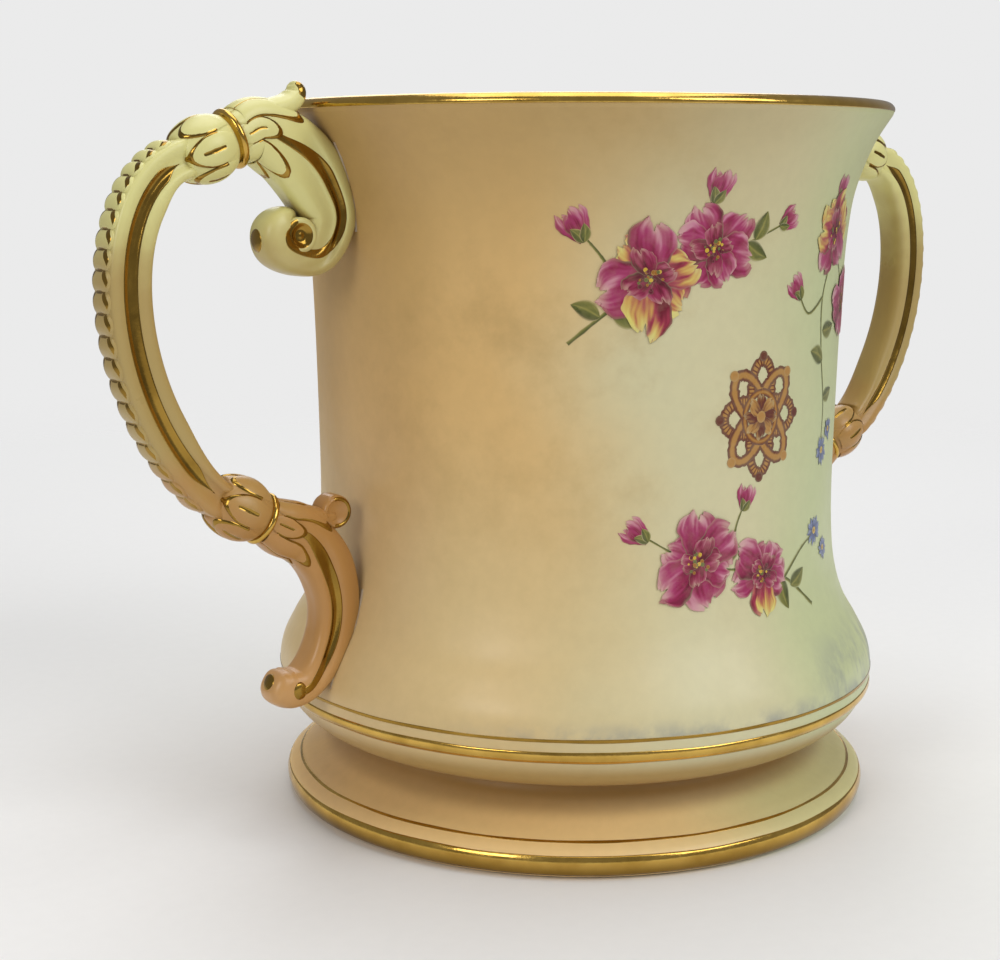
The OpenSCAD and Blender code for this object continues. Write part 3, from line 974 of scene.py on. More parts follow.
@dataclass
class Cup:
    """The cup, its foot and the gilt bands on both."""

    sizes: CupSizes
    glaze: Material
    gilding: Material
    line_gilding: Material

    SEGMENTS = 288
    BAND_ROWS = 13
    GILD_LIFT = 0.07
    GILD_SINK = 0.12

    def build(self) -> None:
        """Build and dress every turned piece."""
        self.body()
        self.foot()
        s = self.sizes
        wall, foot = s.wall(), s.foot_side()[::-1]
        line_z, band_z = s.shoulder_z + s.line_up, s.shoulder_z - s.band_down
        foot_z = s.edge_z + s.foot_line_up
        self.band("shoulder_line_gilding", wall, line_z, line_z + s.line_h, 0.09)
        self.band("shoulder_band_gilding", wall, band_z, band_z + s.band_h, 0.10, 0.45)
        self.band("foot_line_gilding", foot, foot_z, foot_z + s.foot_line_h, 0.05)
        self.band("foot_edge_gilding", foot, s.edge_z * 0.2, s.edge_z - 0.4, 0.10)
        lip = s.lip()
        self.ring("rim_gilding", lip[lip[:, 1] > s.rim_z - 2.0], 0.0, 0.0)

    def body(self) -> None:
        """Turn the cup's body."""
        s = self.sizes
        outline = np.vstack([[(0, s.neck_z)], s.wall(), s.lip()[1:], s.inside()])
        made = Shell.lathe(outline, self.SEGMENTS).piece("cup_ground")
        spots = np.array([v.co for v in made.data.vertices]) / MM
        radius = np.hypot(spots[:, 0], spots[:, 1])
        middle = s.wall_radius(spots[:, 2]) - s.wall_t * 0.5
        lined = (radius < middle) & (spots[:, 2] > s.neck_z + s.floor_t - 0.5)
        layer = made.data.attributes.new(LINING_LAYER, "FLOAT", "POINT")
        layer.data.foreach_set("value", lined.astype(np.float32))
        place(made, Slot.GLAZE, self.glaze, "cup_body")

    def foot(self) -> None:
        """Turn the spreading foot."""
        s = self.sizes
        inner = s.neck_r - s.foot_wall_t
        under = [
            (s.foot_r - 3 - s.foot_wall_t, 0),
            (s.foot_r - 5 - s.foot_wall_t, s.edge_z * 0.6),
            (inner + 1, mix(s.edge_z, s.neck_z, 0.4)),
            (inner, s.neck_z - 0.1),
        ]
        outline = np.vstack([s.foot_side(), spline(under, 6)])
        shell = Shell.lathe(outline, self.SEGMENTS, closed=True)
        place(shell.piece("foot_ground"), Slot.GLAZE, self.glaze, "foot", "foot_lute")

    def band(
        self, node: str, outline: np.ndarray, low: float, high: float, wobble: float, swell: float = 0.0
    ) -> None:
        """Paint a gilt band between two heights.

        Args:
            node: The CAD node that it stands for.
            outline: The surface's outline, upwards.
            low: Lower edge.
            high: Upper edge.
            wobble: How far the hand-painted edges wander.
            swell: How far its middle stands out over its edges.
        """
        order = outline[np.argsort(outline[:, 1])]
        z = np.linspace(low, high, self.BAND_ROWS)
        stretch = np.column_stack([np.interp(z, order[:, 1], order[:, 0]), z])
        self.ring(node, stretch, wobble, swell, order)

    def ring(
        self, node: str, stretch: np.ndarray, wobble: float, swell: float, outline: np.ndarray | None = None
    ) -> None:
        """Lay a thin gilt ring over a stretch of outline.

        Args:
            node: The CAD node that it stands for.
            stretch: Rows of radius and height under the gilding.
            wobble: How far the edges wander along the outline.
            swell: How far its middle stands out over its edges.
            outline: The whole outline, to follow when the edges wander.
        """
        along = np.gradient(stretch, axis=0)
        normal = np.column_stack([along[:, 1], -along[:, 0]])
        normal /= np.linalg.norm(normal, axis=1)[:, None]
        if normal[:, 0].sum() < 0:
            normal = -normal
        crown = swell * np.sin(np.linspace(0, math.pi, len(stretch)))[:, None]
        top, under = stretch + (self.GILD_LIFT + crown) * normal, stretch - self.GILD_SINK * normal
        loop = np.vstack([top, under[::-1]])
        shell = Shell.lathe(loop, self.SEGMENTS, closed=True)
        if outline is not None:
            a = np.arctan2(shell.verts[:, 1], shell.verts[:, 0])
            share = (shell.verts[:, 2] - stretch[:, 1].min()) / max(np.ptp(stretch[:, 1]), 1e-6)
            upper = wobble * wave_noise(3 * np.cos(a), 3 * np.sin(a), 1.7)
            lower = wobble * wave_noise(3 * np.sin(a), 3 * np.cos(a), 4.1)
            old_z = shell.verts[:, 2].copy()
            new_z = old_z + mix(lower, upper, share)
            before, after = (np.interp(z, outline[:, 1], outline[:, 0]) for z in (old_z, new_z))
            radius = np.hypot(shell.verts[:, 0], shell.verts[:, 1])
            shell.verts[:, :2] *= ((radius + (after - before)) / radius)[:, None]
            shell.verts[:, 2] = new_z
        finish = self.line_gilding if node == "shoulder_line_gilding" else self.gilding
        place(shell.piece(f"{node}_leaf"), Slot.GILDING, finish, node)


# The handles


def closed_section(half: Sequence[Point], steps: int) -> np.ndarray:
    """Mirror a half section and smooth it into a closed loop.

    Args:
        half: Points of one side as (away from the path, across), from one middle to the other.
        steps: Stretches between two neighbouring points.

    Returns:
        Rows of the loop, its first point not repeated.
    """
    near = np.asarray(half, float)
    far = near[-2:0:-1] * (1, -1)
    loop = np.vstack([near, far])
    ring = spline(np.vstack([loop[-2:], loop, loop[:3]]), steps)
    return ring[2 * steps : (2 + len(loop)) * steps]


def normals_of(path: np.ndarray) -> np.ndarray:
    """Unit normals to the left of a path of (distance, height).

    Args:
        path: Rows that begin with distance and height.

    Returns:
        A normal for each row.
    """
    d = np.gradient(path[:, :2], axis=0)
    d /= np.linalg.norm(d, axis=1)[:, None]
    return np.column_stack([-d[:, 1], d[:, 0]])


def sweep(path: np.ndarray, section: np.ndarray) -> np.ndarray:
    """Carry a section along a path in the handle's plane.

    Args:
        path: Rows of distance, height, half thickness and half width.
        section: Rows of (away, across) as shares of the half sizes, one loop or one for each path row.

    Returns:
        Rings by points by 3.
    """
    n = normals_of(path)
    away = path[:, 2:3] * section[..., 0]
    rings = np.empty((*away.shape, 3))
    rings[..., 0] = path[:, :1] + n[:, :1] * away
    rings[..., 1] = path[:, 3:4] * section[..., 1]
    rings[..., 2] = path[:, 1:2] + n[:, 1:2] * away
    return rings


@dataclass(frozen=True)
class Leaf:
    """A leaf in relief on a moulded surface."""

    start: float
    end: float
    middle: float
    spread: float
    height: float
    veined: bool = True

    def shell(self, surface: Surface) -> Shell:
        """Model the leaf.

        Args:
            surface: Gives points from places along, angles round (degrees) and heights over the surface.

        Returns:
            The leaf's shell, its edges sunk into the surface.
        """
        u = np.linspace(0, 1, 36)[:, None]
        v = np.linspace(-1, 1, 29)[None, :]
        tip = np.clip((u - 0.45) / 0.55, 0, 1)
        width = np.where(u < 0.45, 0.70 + 0.30 * np.sin(math.pi * u / 0.9), np.sqrt(1 - tip**2.2))
        along = mix(self.start, self.end, u) + 0 * v
        angle = self.middle + self.spread * width * v
        edge = np.where(u < 0.45, np.abs(v), np.sqrt(tip**2 + (width * v) ** 2))
        dome = self.height * np.sqrt(np.clip(1 - edge**3, 0, 1)) * (0.45 + 0.55 * u)
        dome = dome - 0.32 * smooth_step(0.94, 1.0, edge)
        vein = smooth_step(0.17, 0.11, np.abs(v) + 0.25 * np.abs(u - 0.5)) * smooth_step(0.24, 0.3, u)
        vein = vein * smooth_step(0.76, 0.70, u) * self.veined
        points = surface(along, angle, dome - 0.16 * vein)
        rim = smooth_step(0.80, 0.86, edge) * smooth_step(0.22, 0.40, u)
        gilt = np.maximum(rim, vein)
        return Shell.grid(points, False, gilt)


@dataclass(frozen=True)
class HandleSizes:
    """Sizes of one handle, in its own plane of distance from the axis and height."""

    upper_at: Point = (26.7, -7.7)
    lower_at: Point = (22.1, 39.7)
    bow_half: float = 3.9
    scroll_half_w: float = 4.4
    collar_r: float = 5.9
    collar_t: float = 1.8
    calyx_r: float = 6.5
    calyx_len: float = 10.0
    upper_tilt: float = -20.0
    lower_tilt: float = 28.0
    lower_leave: float = 41.0
    upper_pull: float = 18.0
    lower_pull: float = 28.0
    root_len: float = 1.2
    beads: int = 20
    leaves: int = 6


# Half sections, from the side away from the cup to the side towards it
BOW_SECTION = (
    (0.98, 0.0), (0.98, 0.6), (0.94, 0.88), (0.82, 1.0), (0.62, 1.03), (0.42, 0.98), (0.22, 0.88),
    (0.02, 0.80), (-0.18, 0.80), (-0.34, 0.90), (-0.46, 1.02), (-0.62, 1.05), (-0.82, 0.93), (-0.96, 0.58),
    (-1.0, 0.0),
)
SCROLL_SECTION = (
    (1.0, 0.0), (1.0, 0.45), (0.90, 0.80), (0.66, 0.98), (0.46, 0.97), (0.26, 0.92), (0.10, 0.91),
    (-0.01, 0.95), (-0.13, 0.86), (-0.28, 0.76), (-0.43, 0.83), (-0.55, 0.94), (-0.78, 0.86), (-1.0, 0.64),
    (-1.0, 0.0),
)
LOWER_SECTION = (
    (1.0, 0.0), (1.0, 0.45), (0.93, 0.76), (0.80, 0.93), (0.64, 0.98), (0.52, 0.96), (0.40, 0.86),
    (0.22, 0.77), (0.04, 0.83), (-0.08, 0.95), (-0.24, 1.0), (-0.50, 0.97), (-0.78, 0.84), (-1.0, 0.64),
    (-1.0, 0.0),
)
ROLL_SECTION = (
    (1.0, 0.0), (0.98, 0.34), (0.92, 0.62), (0.78, 0.82), (0.58, 0.93), (0.36, 0.98), (0.14, 1.0),
    (-0.06, 1.0), (-0.26, 0.98), (-0.46, 0.94), (-0.64, 0.87), (-0.80, 0.74), (-0.92, 0.54), (-0.98, 0.28),
    (-1.0, 0.0),
)
LEAF_SECTION = ((1.0, 0.0), (0.92, 0.5), (0.55, 0.9), (0.0, 1.0), (-0.55, 0.9), (-0.92, 0.5), (-1.0, 0.0))
# Middle and half width of the gilding in the channels, as away values of those sections
BOW_CHANNEL = (-0.06, 0.34)
SCROLL_CHANNEL = (-0.26, 0.22)
LOWER_CHANNEL = (0.22, 0.26)
# How much fuller the bow's rib on the cup's side is between the leaf cups
BOW_FULL = 0.34


@dataclass
class Handle:
    """One moulded handle with its scrolls, bow, leaf cups, collars and slip seams."""

    side: Side
    cup: CupSizes
    sizes: HandleSizes
    glaze: Material
    gilding: Material
    channel_gilding: Material
    slip: Material

    STEPS = 10
    SECTION_STEPS = 4
    BOW_ROWS = 120
    BOW_SINK = 1.5
    COLLAR_SEGMENTS = 72
    CALYX_SEGMENTS = 96
    WALL_GAP = 0.02
    GILD_LIFT = 0.016
    GILD_SINK = 0.05
    GILD_POINTS = 11

    def __post_init__(self) -> None:
        """Work out the handle's main points."""
        s, cup = self.sizes, self.cup
        self.upper_seat = np.array([cup.waist_r, cup.rim_z]) + s.upper_at
        self.lower_seat = np.array([cup.waist_r, cup.shoulder_z]) + s.lower_at
        reach = s.collar_t + s.calyx_len
        self.upper_root = self.along(self.upper_seat, s.upper_tilt, reach)
        self.lower_root = self.along(self.lower_seat, s.lower_tilt, reach)

    @staticmethod
    def along(seat: np.ndarray, tilt: float, distance: float) -> np.ndarray:
        """Go a distance from a seat along a tilted axis."""
        a = math.radians(tilt)
        return seat + distance * np.array([math.cos(a), math.sin(a)])

    def name(self, part: str) -> str:
        """Name a node or piece of this handle."""
        return f"{self.side.value}_{part}"

    def add(self, shell: Shell, piece: str, slot: Slot, material: Material, *nodes: str) -> None:
        """Turn a shell from the right handle's place to this side and place it; names have no side."""
        made = shell.turned(self.side.turn).piece(self.name(piece))
        place(made, slot, material, *[self.name(n) for n in nodes])

    def seated(self, rings: np.ndarray) -> np.ndarray:
        """Bring points that would lie inside the cup out to its wall.

        Args:
            rings: Points of any number.

        Returns:
            The points, moved.
        """
        radius = np.hypot(rings[..., 0], rings[..., 1])
        wall = self.cup.wall_radius(rings[..., 2]) + self.WALL_GAP
        push = np.maximum(wall / radius, 1.0)
        moved = rings.copy()
        moved[..., :2] *= push[..., None]
        return moved

    def build(self) -> None:
        """Build and dress the whole handle."""
        self.bow()
        self.bead_band()
        self.collars()
        self.calyxes()
        self.upper_scroll()
        self.lower_scroll()
        self.rim_leaf()
        self.lower_leaf()

    def bow_points(self, t: np.ndarray) -> np.ndarray:
        """Points of the bow's cubic curve.

        Args:
            t: Shares of the way along it.

        Returns:
            Rows of distance and height.
        """
        s = self.sizes
        a = self.along(self.upper_root, s.upper_tilt, s.root_len)
        d = self.along(self.lower_root, s.lower_tilt, s.root_len)
        b = self.along(a, s.upper_tilt, s.upper_pull)
        c = self.along(d, s.lower_leave, s.lower_pull)
        t = np.asarray(t, float)[:, None]
        return (1 - t) ** 3 * a + 3 * t * (1 - t) ** 2 * b + 3 * t**2 * (1 - t) * c + t**3 * d

    def bow_path(self, count: int) -> np.ndarray:
        """Path of the bow with its half sizes, reaching a little into both leaf cups.

        Args:
            count: Rows between the leaf cups.

        Returns:
            Rows of distance, height and half sizes.
        """
        s = self.sizes
        first = self.along(self.upper_root, s.upper_tilt, -self.BOW_SINK)
        last = self.along(self.lower_root, s.lower_tilt, -self.BOW_SINK)
        points = np.vstack([first, self.bow_points(np.linspace(0, 1, count)), last])
        return np.column_stack([points, np.full((len(points), 2), s.bow_half)])

    def channel(self, path: np.ndarray, section: np.ndarray, middle: np.ndarray, half: np.ndarray) -> Shell:
        """Lay thin gilding in the channel on both sides of a swept piece.

        Args:
            path: The piece's path.
            section: The piece's closed section, one loop for each path row.
            middle: Middle of the gilt stretch on each row, as an away value of the section.
            half: Half its width, as such a value.

        Returns:
            Both strips.
        """
        shares = np.linspace(1, -1, self.GILD_POINTS)
        loops = np.empty((len(path), 2 * self.GILD_POINTS, 2))
        for i, loop in enumerate(section):
            near = loop[: len(loop) // 2 + 1]
            away = middle[i] + half[i] * shares
            across = np.interp(away, near[::-1, 0], near[::-1, 1])
            top = np.column_stack([away, across + self.GILD_LIFT])
            under = np.column_stack([away, across - self.GILD_SINK])
            loops[i] = np.vstack([top, under[::-1]])
        strip = Shell.tube(self.seated(sweep(path, loops)))
        return strip.joined(Shell.tube(self.seated(sweep(path, loops * (1, -1)))))

    def bow(self) -> None:
        """Model the bow with its fluted, gilt sides."""
        path = self.bow_path(self.BOW_ROWS)
        loop = closed_section(BOW_SECTION, self.SECTION_STEPS)
        section = np.repeat(loop[None], len(path), axis=0)
        rows = np.minimum(np.arange(len(path)), np.arange(len(path))[::-1])
        full = BOW_FULL * smooth_step(2, 26, rows)[:, None] * smooth_step(-0.40, -0.62, loop[None, :, 0])
        section[..., 0] *= 1 + full
        self.add(Shell.tube(sweep(path, section)), "bow_moulding", Slot.IVORY, self.glaze, "bow")
        inner = slice(3, -3)
        count = len(path[inner])
        middle, half = BOW_CHANNEL
        ends = np.minimum(np.arange(count), np.arange(count)[::-1])
        taper = 0.04 + 0.96 * smooth_step(0, 10, ends)
        gild = self.channel(path[inner], section[inner], np.full(count, middle), half * taper)
        self.add(gild, "bow_channel_gilding", Slot.GILDING, self.channel_gilding, "bow_ribs")

    def bead_band(self) -> None:
        """Model the scalloped band along the bow's back."""
        s = self.sizes
        per_bead, across = 20, 61
        share = np.linspace(0.0, 1.0, s.beads * per_bead + 1)
        centre = self.bow_points(0.01 + 0.98 * share)
        path = np.column_stack([centre, np.ones((len(centre), 2))])
        n = normals_of(path)
        # A bead swells between two notches
        swell = np.sqrt(np.abs(np.sin(math.pi * share * s.beads)))[:, None]
        v = np.linspace(-1, 1, across)[None, :]
        half = 2.7 + 0.80 * swell
        dome = (0.22 + 0.80 * swell) * np.clip(1 - np.abs(v) ** 2.4, 0, 1) ** 0.5
        away = s.bow_half * 0.97 + dome
        points = np.empty((len(centre), across, 3))
        points[..., 0] = centre[:, :1] + n[:, :1] * away
        points[..., 1] = half * v
        points[..., 2] = centre[:, 1:2] + n[:, 1:2] * away
        # A gilt drop runs from each notch along the side of its bead, and a dash lies in the notch
        phase = (share * s.beads % 1.0)[:, None]
        line = 0.62 + 0.24 * smooth_step(0.0, 0.7, phase)
        wide = 0.17 * smooth_step(-0.10, 0.10, phase) * smooth_step(0.86, 0.36, phase)
        drop = smooth_step(1.2, 0.8, np.abs(np.abs(v) - line) / np.maximum(wide, 0.001))
        dash = smooth_step(1.2, 0.8, np.hypot(np.minimum(phase, 1 - phase) / 0.085, v / 0.5))
        under = points[:, [across - 1, 0]].copy()
        under[..., 0] -= n[:, :1] * 0.9
        under[..., 2] -= n[:, 1:] * 0.9
        rings = np.concatenate([points, under], axis=1)
        gilt = np.concatenate([np.maximum(drop, dash), np.zeros((len(centre), 2))], axis=1)
        self.add(Shell.tube(rings, gilt), "bow_bead_band", Slot.IVORY, self.glaze, "husk_band")

    def on_axis(self, shell: Shell, seat: np.ndarray, tilt: float, distance: float) -> Shell:
        """Stand a turned shell on a collar's axis.

        Args:
            shell: A shell turned about Z.
            seat: The collar's place.
            tilt: Tilt of its axis.
            distance: How far along it.

        Returns:
            The shell in its place.
        """
        origin = self.along(seat, tilt, distance)
        a = math.radians(tilt)
        axis = np.array([math.cos(a), 0, math.sin(a)])
        up = np.array([-math.sin(a), 0, math.cos(a)])
        side = np.array([0, 1.0, 0])
        base = np.array([origin[0], 0, origin[1]])
        verts = base + shell.verts[:, :1] * up + shell.verts[:, 1:2] * side + shell.verts[:, 2:3] * axis
        return Shell(verts, shell.faces, shell.gilt)

    def collars(self) -> None:
        """Turn the gilt collar at each end of the bow."""
        s = self.sizes
        for part, seat, tilt, radius in (
            ("upper_collar", self.upper_seat, s.upper_tilt, s.collar_r),
            ("lower_collar", self.lower_seat, s.lower_tilt, s.collar_r - 0.5),
        ):
            a = np.linspace(-90, 90, 17) * math.pi / 180
            round_edge = np.column_stack([radius - 0.7 + 0.7 * np.cos(a), 0.9 + 0.7 * np.sin(a)])
            inner = radius - 1.1
            outline = np.vstack([(0, -0.2), (inner, -0.2), round_edge, (inner, 2.0), (0, 2.0)])
            shell = self.on_axis(Shell.lathe(outline, self.COLLAR_SEGMENTS), seat, tilt, 0)
            self.add(shell, f"{part}_ring", Slot.GILDING, self.gilding, part)

    def calyxes(self) -> None:
        """Model the leaf cup at each end of the bow."""
        s = self.sizes
        for part, seat, tilt, slot in (
            ("upper_calyx", self.upper_seat, s.upper_tilt, Slot.IVORY),
            ("lower_calyx", self.lower_seat, s.lower_tilt, Slot.APRICOT),
        ):
            rows = [
                (4.6, -0.3),
                (s.calyx_r - 1.1, 1.2),
                (s.calyx_r - 0.5, s.calyx_len * 0.3),
                (s.calyx_r - 0.35, s.calyx_len * 0.5),
                (s.calyx_r - 0.8, s.calyx_len * 0.75),
                (s.calyx_r - 1.9, s.calyx_len),
                (s.calyx_r - 3.2, s.calyx_len + 0.6),
            ]
            side = spline(rows, 8)
            shell = Shell.lathe(np.vstack([(0, -0.3), side, (0, s.calyx_len + 0.6)]), self.CALYX_SEGMENTS)

            def surface(
                along: np.ndarray, angle: np.ndarray, height: np.ndarray, rows: np.ndarray = side
            ) -> np.ndarray:
                """Points over the bulb.

                Args:
                    along: Places along the axis.
                    angle: Degrees round it.
                    height: Heights over the bulb.
                    rows: The bulb's outline.

                Returns:
                    The points.
                """
                radius = np.interp(along, rows[:, 1], rows[:, 0]) + height
                a = np.radians(angle)
                return np.stack([radius * np.cos(a), radius * np.sin(a), along + 0 * angle], axis=-1)

            leaves = []
            for k in range(s.leaves):
                middle, spread = 30 + 360 / s.leaves * k, 180 / s.leaves * 1.06
                end = s.calyx_len + (0.9 if k % 2 else 0.1)
                leaves.append(Leaf(0.6, end, middle, spread, 0.62, k % 3 != 0).shell(surface))
            shell = shell.joined(*leaves)
            shell = self.on_axis(shell, seat, tilt, s.collar_t)
            self.add(shell, f"{part}_leaves", slot, self.glaze, part)

    def path_surface(self, path: np.ndarray) -> Surface:
        """Give the surface of a swept piece for leaves to lie on.

        Args:
            path: The piece's path.

        Returns:
            A function of places along (row numbers), angles and heights.
        """
        n = normals_of(path)
        rows = np.arange(len(path))
        loop = closed_section(ROLL_SECTION, self.SECTION_STEPS)
        polar = np.arctan2(loop[:, 1], loop[:, 0])

        def surface(along: np.ndarray, angle: np.ndarray, height: np.ndarray) -> np.ndarray:
            """Points over the swept piece, on its rounded section.

            Args:
                along: Path rows.
                angle: Degrees round the path.
                height: Heights over the piece.

            Returns:
                The points.
            """
            a = np.radians(angle)
            column = [np.interp(along, rows, path[:, k]) for k in range(4)]
            nx, nz = np.interp(along, rows, n[:, 0]), np.interp(along, rows, n[:, 1])
            away = np.interp(a, polar, loop[:, 0], period=2 * math.pi) * (column[2] + height)
            out = np.interp(a, polar, loop[:, 1], period=2 * math.pi) * (column[3] + height)
            points = np.stack([column[0] + nx * away, out, column[1] + nz * away], axis=-1)
            return self.seated(points)

        return surface

    def changing_section(self, fluted: Sequence[Point], count: int, first: int, last: int) -> np.ndarray:
        """Let a scroll pass from its rounded start to its fluted arm and on into its rounded roll.

        Args:
            fluted: Half section of the arm.
            count: Rows of the path.
            first: Row at which the flute begins to fade.
            last: Row at which it is gone.

        Returns:
            A loop for each row.
        """
        rows = np.arange(count)
        share = np.maximum(smooth_step(46, 28, rows), smooth_step(first, last, rows))[:, None, None]
        arm, roll = (closed_section(half, self.SECTION_STEPS) for half in (fluted, ROLL_SECTION))
        return arm + (roll - arm) * share

    def scroll_path(
        self,
        seat: np.ndarray,
        tilt: float,
        start: Sequence[tuple[float, float, float]],
        base: Point,
        rest: Sequence[tuple[float, ...]],
    ) -> np.ndarray:
        """Run a scroll's path from its collar.

        Args:
            seat: The collar's place.
            tilt: Tilt of the collar's axis.
            start: Distance along that axis, half thickness and added half width of the first rows.
            base: Place from which the other rows are measured.
            rest: Offsets from that place, half thickness and added half width of the other rows.

        Returns:
            Rows of distance, height, half thickness and half width.
        """
        w = self.sizes.scroll_half_w
        rows = [(*self.along(seat, tilt, far), thick, w + more) for far, thick, more in start]
        rows += [(base[0] + x, base[1] + z, thick, w + more) for x, z, thick, more in rest]
        return spline(rows, self.STEPS)

    def scroll(
        self,
        part: str,
        slot: Slot,
        path: np.ndarray,
        section: np.ndarray,
        extras: Sequence[Shell],
        gild: Shell,
    ) -> None:
        """Place a scroll with its gilding and its slip seam.

        Args:
            part: Which of the two scrolls.
            slot: The record's slot of its glaze.
            path: Its path.
            section: Its section on each path row.
            extras: What else is moulded with it.
            gild: Its gilding.
        """
        shell = Shell.tube(self.seated(sweep(path, section))).joined(*extras)
        self.add(shell, f"{part}_scroll_moulding", slot, self.glaze, f"{part}_scroll")
        self.add(gild, f"{part}_scroll_gilding", Slot.GILDING, self.channel_gilding, f"{part}_scroll_rib")
        self.seam(path, f"{part}_lute")

    def upper_scroll(self) -> None:
        """Model the upper scroll, which hugs the cup and rolls up round its eye."""
        c, w = self.cup, self.sizes.scroll_half_w
        tilt = self.sizes.upper_tilt
        eye = np.array([c.waist_r + 14.9, c.rim_z - 26.2])
        start = [(0.4, 4.9, 0.5), (-1.2, 5.1, 0.5), (-4.2, 5.8, 0.4)]
        rest = [(18.2, -8.0, 6.7, 0.2), (13.1, -11.9, 7.0, 0.0), (9.2, -17.4, 6.5, -0.1)]
        rest += [(7.1, -23.2, 5.4, -0.1), (9.9, -29.2, 4.6, 0.0), (14.5, -30.6, 3.5, 0.1)]
        rest += [(18.5, -28.8, 3.5, 0.2), (19.2, -25.4, 3.3, 0.1), (17.1, -23.3, 2.7, -0.4)]
        rest += [(14.5, -23.6, 2.0, -3.0)]
        path = self.scroll_path(self.upper_seat, tilt, start, (c.waist_r, c.rim_z), rest)
        rows = np.arange(len(path))
        section = self.changing_section(SCROLL_SECTION, len(path), 64, 84)
        hub = self.hub(eye, 3.5, w + 0.1)
        leaves = self.leaves(path, ((8, 36), (50, 40), (93, 29), (136, 34), (178, 36)))
        middle, half = SCROLL_CHANNEL
        run = slice(27, 109)
        centre = middle + 0.30 * smooth_step(48, 27, rows) + (0.40 - middle) * smooth_step(62, 84, rows)
        width = half * (0.42 + 0.58 * smooth_step(27, 46, rows)) * (1 - 0.85 * smooth_step(92, 110, rows))
        gild = self.channel(path[run], section[run], centre[run], width[run])
        gild = gild.joined(self.spot(path, eye + (7.7, -0.9), 3.5, 26))
        self.scroll("upper", Slot.IVORY, path, section, (hub, leaves), gild)

    def leaves(self, path: np.ndarray, spread: Sequence[Point]) -> Shell:
        """Fold a ring of leaves over the start of a scroll.

        Args:
            path: The scroll's path.
            spread: The angle of each leaf round the scroll and the path row that its tip reaches.

        Returns:
            The leaves on both sides.
        """
        surface = self.path_surface(path)
        first, *others = [
            Leaf(0, end, sign * middle, 23.5, 0.55, 80 < middle < 100).shell(surface)
            for middle, end in spread
            for sign in (1, -1)
        ]
        return first.joined(*others)

    @staticmethod
    def hub(eye: np.ndarray, size: float, half_w: float) -> Shell:
        """Fill a roll round its eye, dished on both sides.

        Args:
            eye: The roll's middle in the handle's plane.
            size: Radius of the filling.
            half_w: Half its width across the handle.

        Returns:
            The filling, its dishes gilt.
        """
        ring = ring_angles(40)
        side = [(0.0, -0.62), (0.12, -0.66), (0.26, -0.8), (0.42, -0.72), (0.56, -0.4), (0.66, -0.12)]
        side += [(0.74, 0.0), (0.84, 0.02), (0.93, -0.1), (1.0, -0.45)]
        # The groove runs on round the outer half of the dish
        turn = np.where(ring > math.pi, ring - 2 * math.pi, ring)
        groove = smooth_step(-1.6, -0.7, turn) * smooth_step(1.7, 0.9, turn)
        rows = [(share, half_w + sink - 0.25 * groove * (0.7 < share < 0.95)) for share, sink in side]
        rows += [(share, -across) for share, across in reversed(rows)]
        gilt = [np.ones(len(ring)) if share < 0.7 else groove * (share < 0.95) for share, _ in rows]
        return Shell.disc(eye, size, rows, np.array(gilt))

    def spot(self, path: np.ndarray, near: np.ndarray, rows: float, degrees: float) -> Shell:
        """Gild a round spot on the back of a roll.

        Args:
            path: The scroll's path.
            near: The spot's place in the handle's plane.
            rows: Half its height, in path rows.
            degrees: Half its width, as an angle round the roll.

        Returns:
            The spot, as a thin patch with its edge sunk into the roll.
        """
        back = path[:, :2] - normals_of(path) * path[:, 2:3]
        middle = int(np.argmin(np.linalg.norm(back - near, axis=1)))
        ring = ring_angles(36)[None, :]
        share = np.array([0.0, 0.3, 0.6, 0.85, 1.0, 1.0, 0.5, 0.0])[:, None]
        height = np.array([0.07, 0.07, 0.06, 0.05, 0.02, -0.2, -0.25, -0.25])[:, None] + 0 * ring
        points = self.path_surface(path)(
            middle + rows * share * np.cos(ring), 180 + degrees * share * np.sin(ring), height
        )
        return Shell.grid(points, True)

    @staticmethod
    def dot(centre: np.ndarray, facing: Point, tall: float, wide: float) -> Shell:
        """Make a flat gilt dot on the end of a roll.

        Args:
            centre: Its place in the handle's plane.
            facing: The way that it faces, in the handle's plane.
            tall: Half its height.
            wide: Half its width across the handle.

        Returns:
            The dot, as a thin lens.
        """
        ring = ring_angles(28)[:, None]
        out = np.array([facing[0], 0, facing[1]])
        up, side = np.array([-facing[1], 0, facing[0]]), np.array([0, 1.0, 0])
        base = np.array([centre[0], 0, centre[1]])
        lens = ((0.0, 0.1), (0.35, 0.06), (0.7, -0.09), (0.94, -0.24), (1.0, -0.6), (0.0, -0.9))
        rows = [
            base + share * tall * np.cos(ring) * up + share * wide * np.sin(ring) * side + lift * out
            for share, lift in lens
        ]
        return Shell.grid(np.array(rows), True)

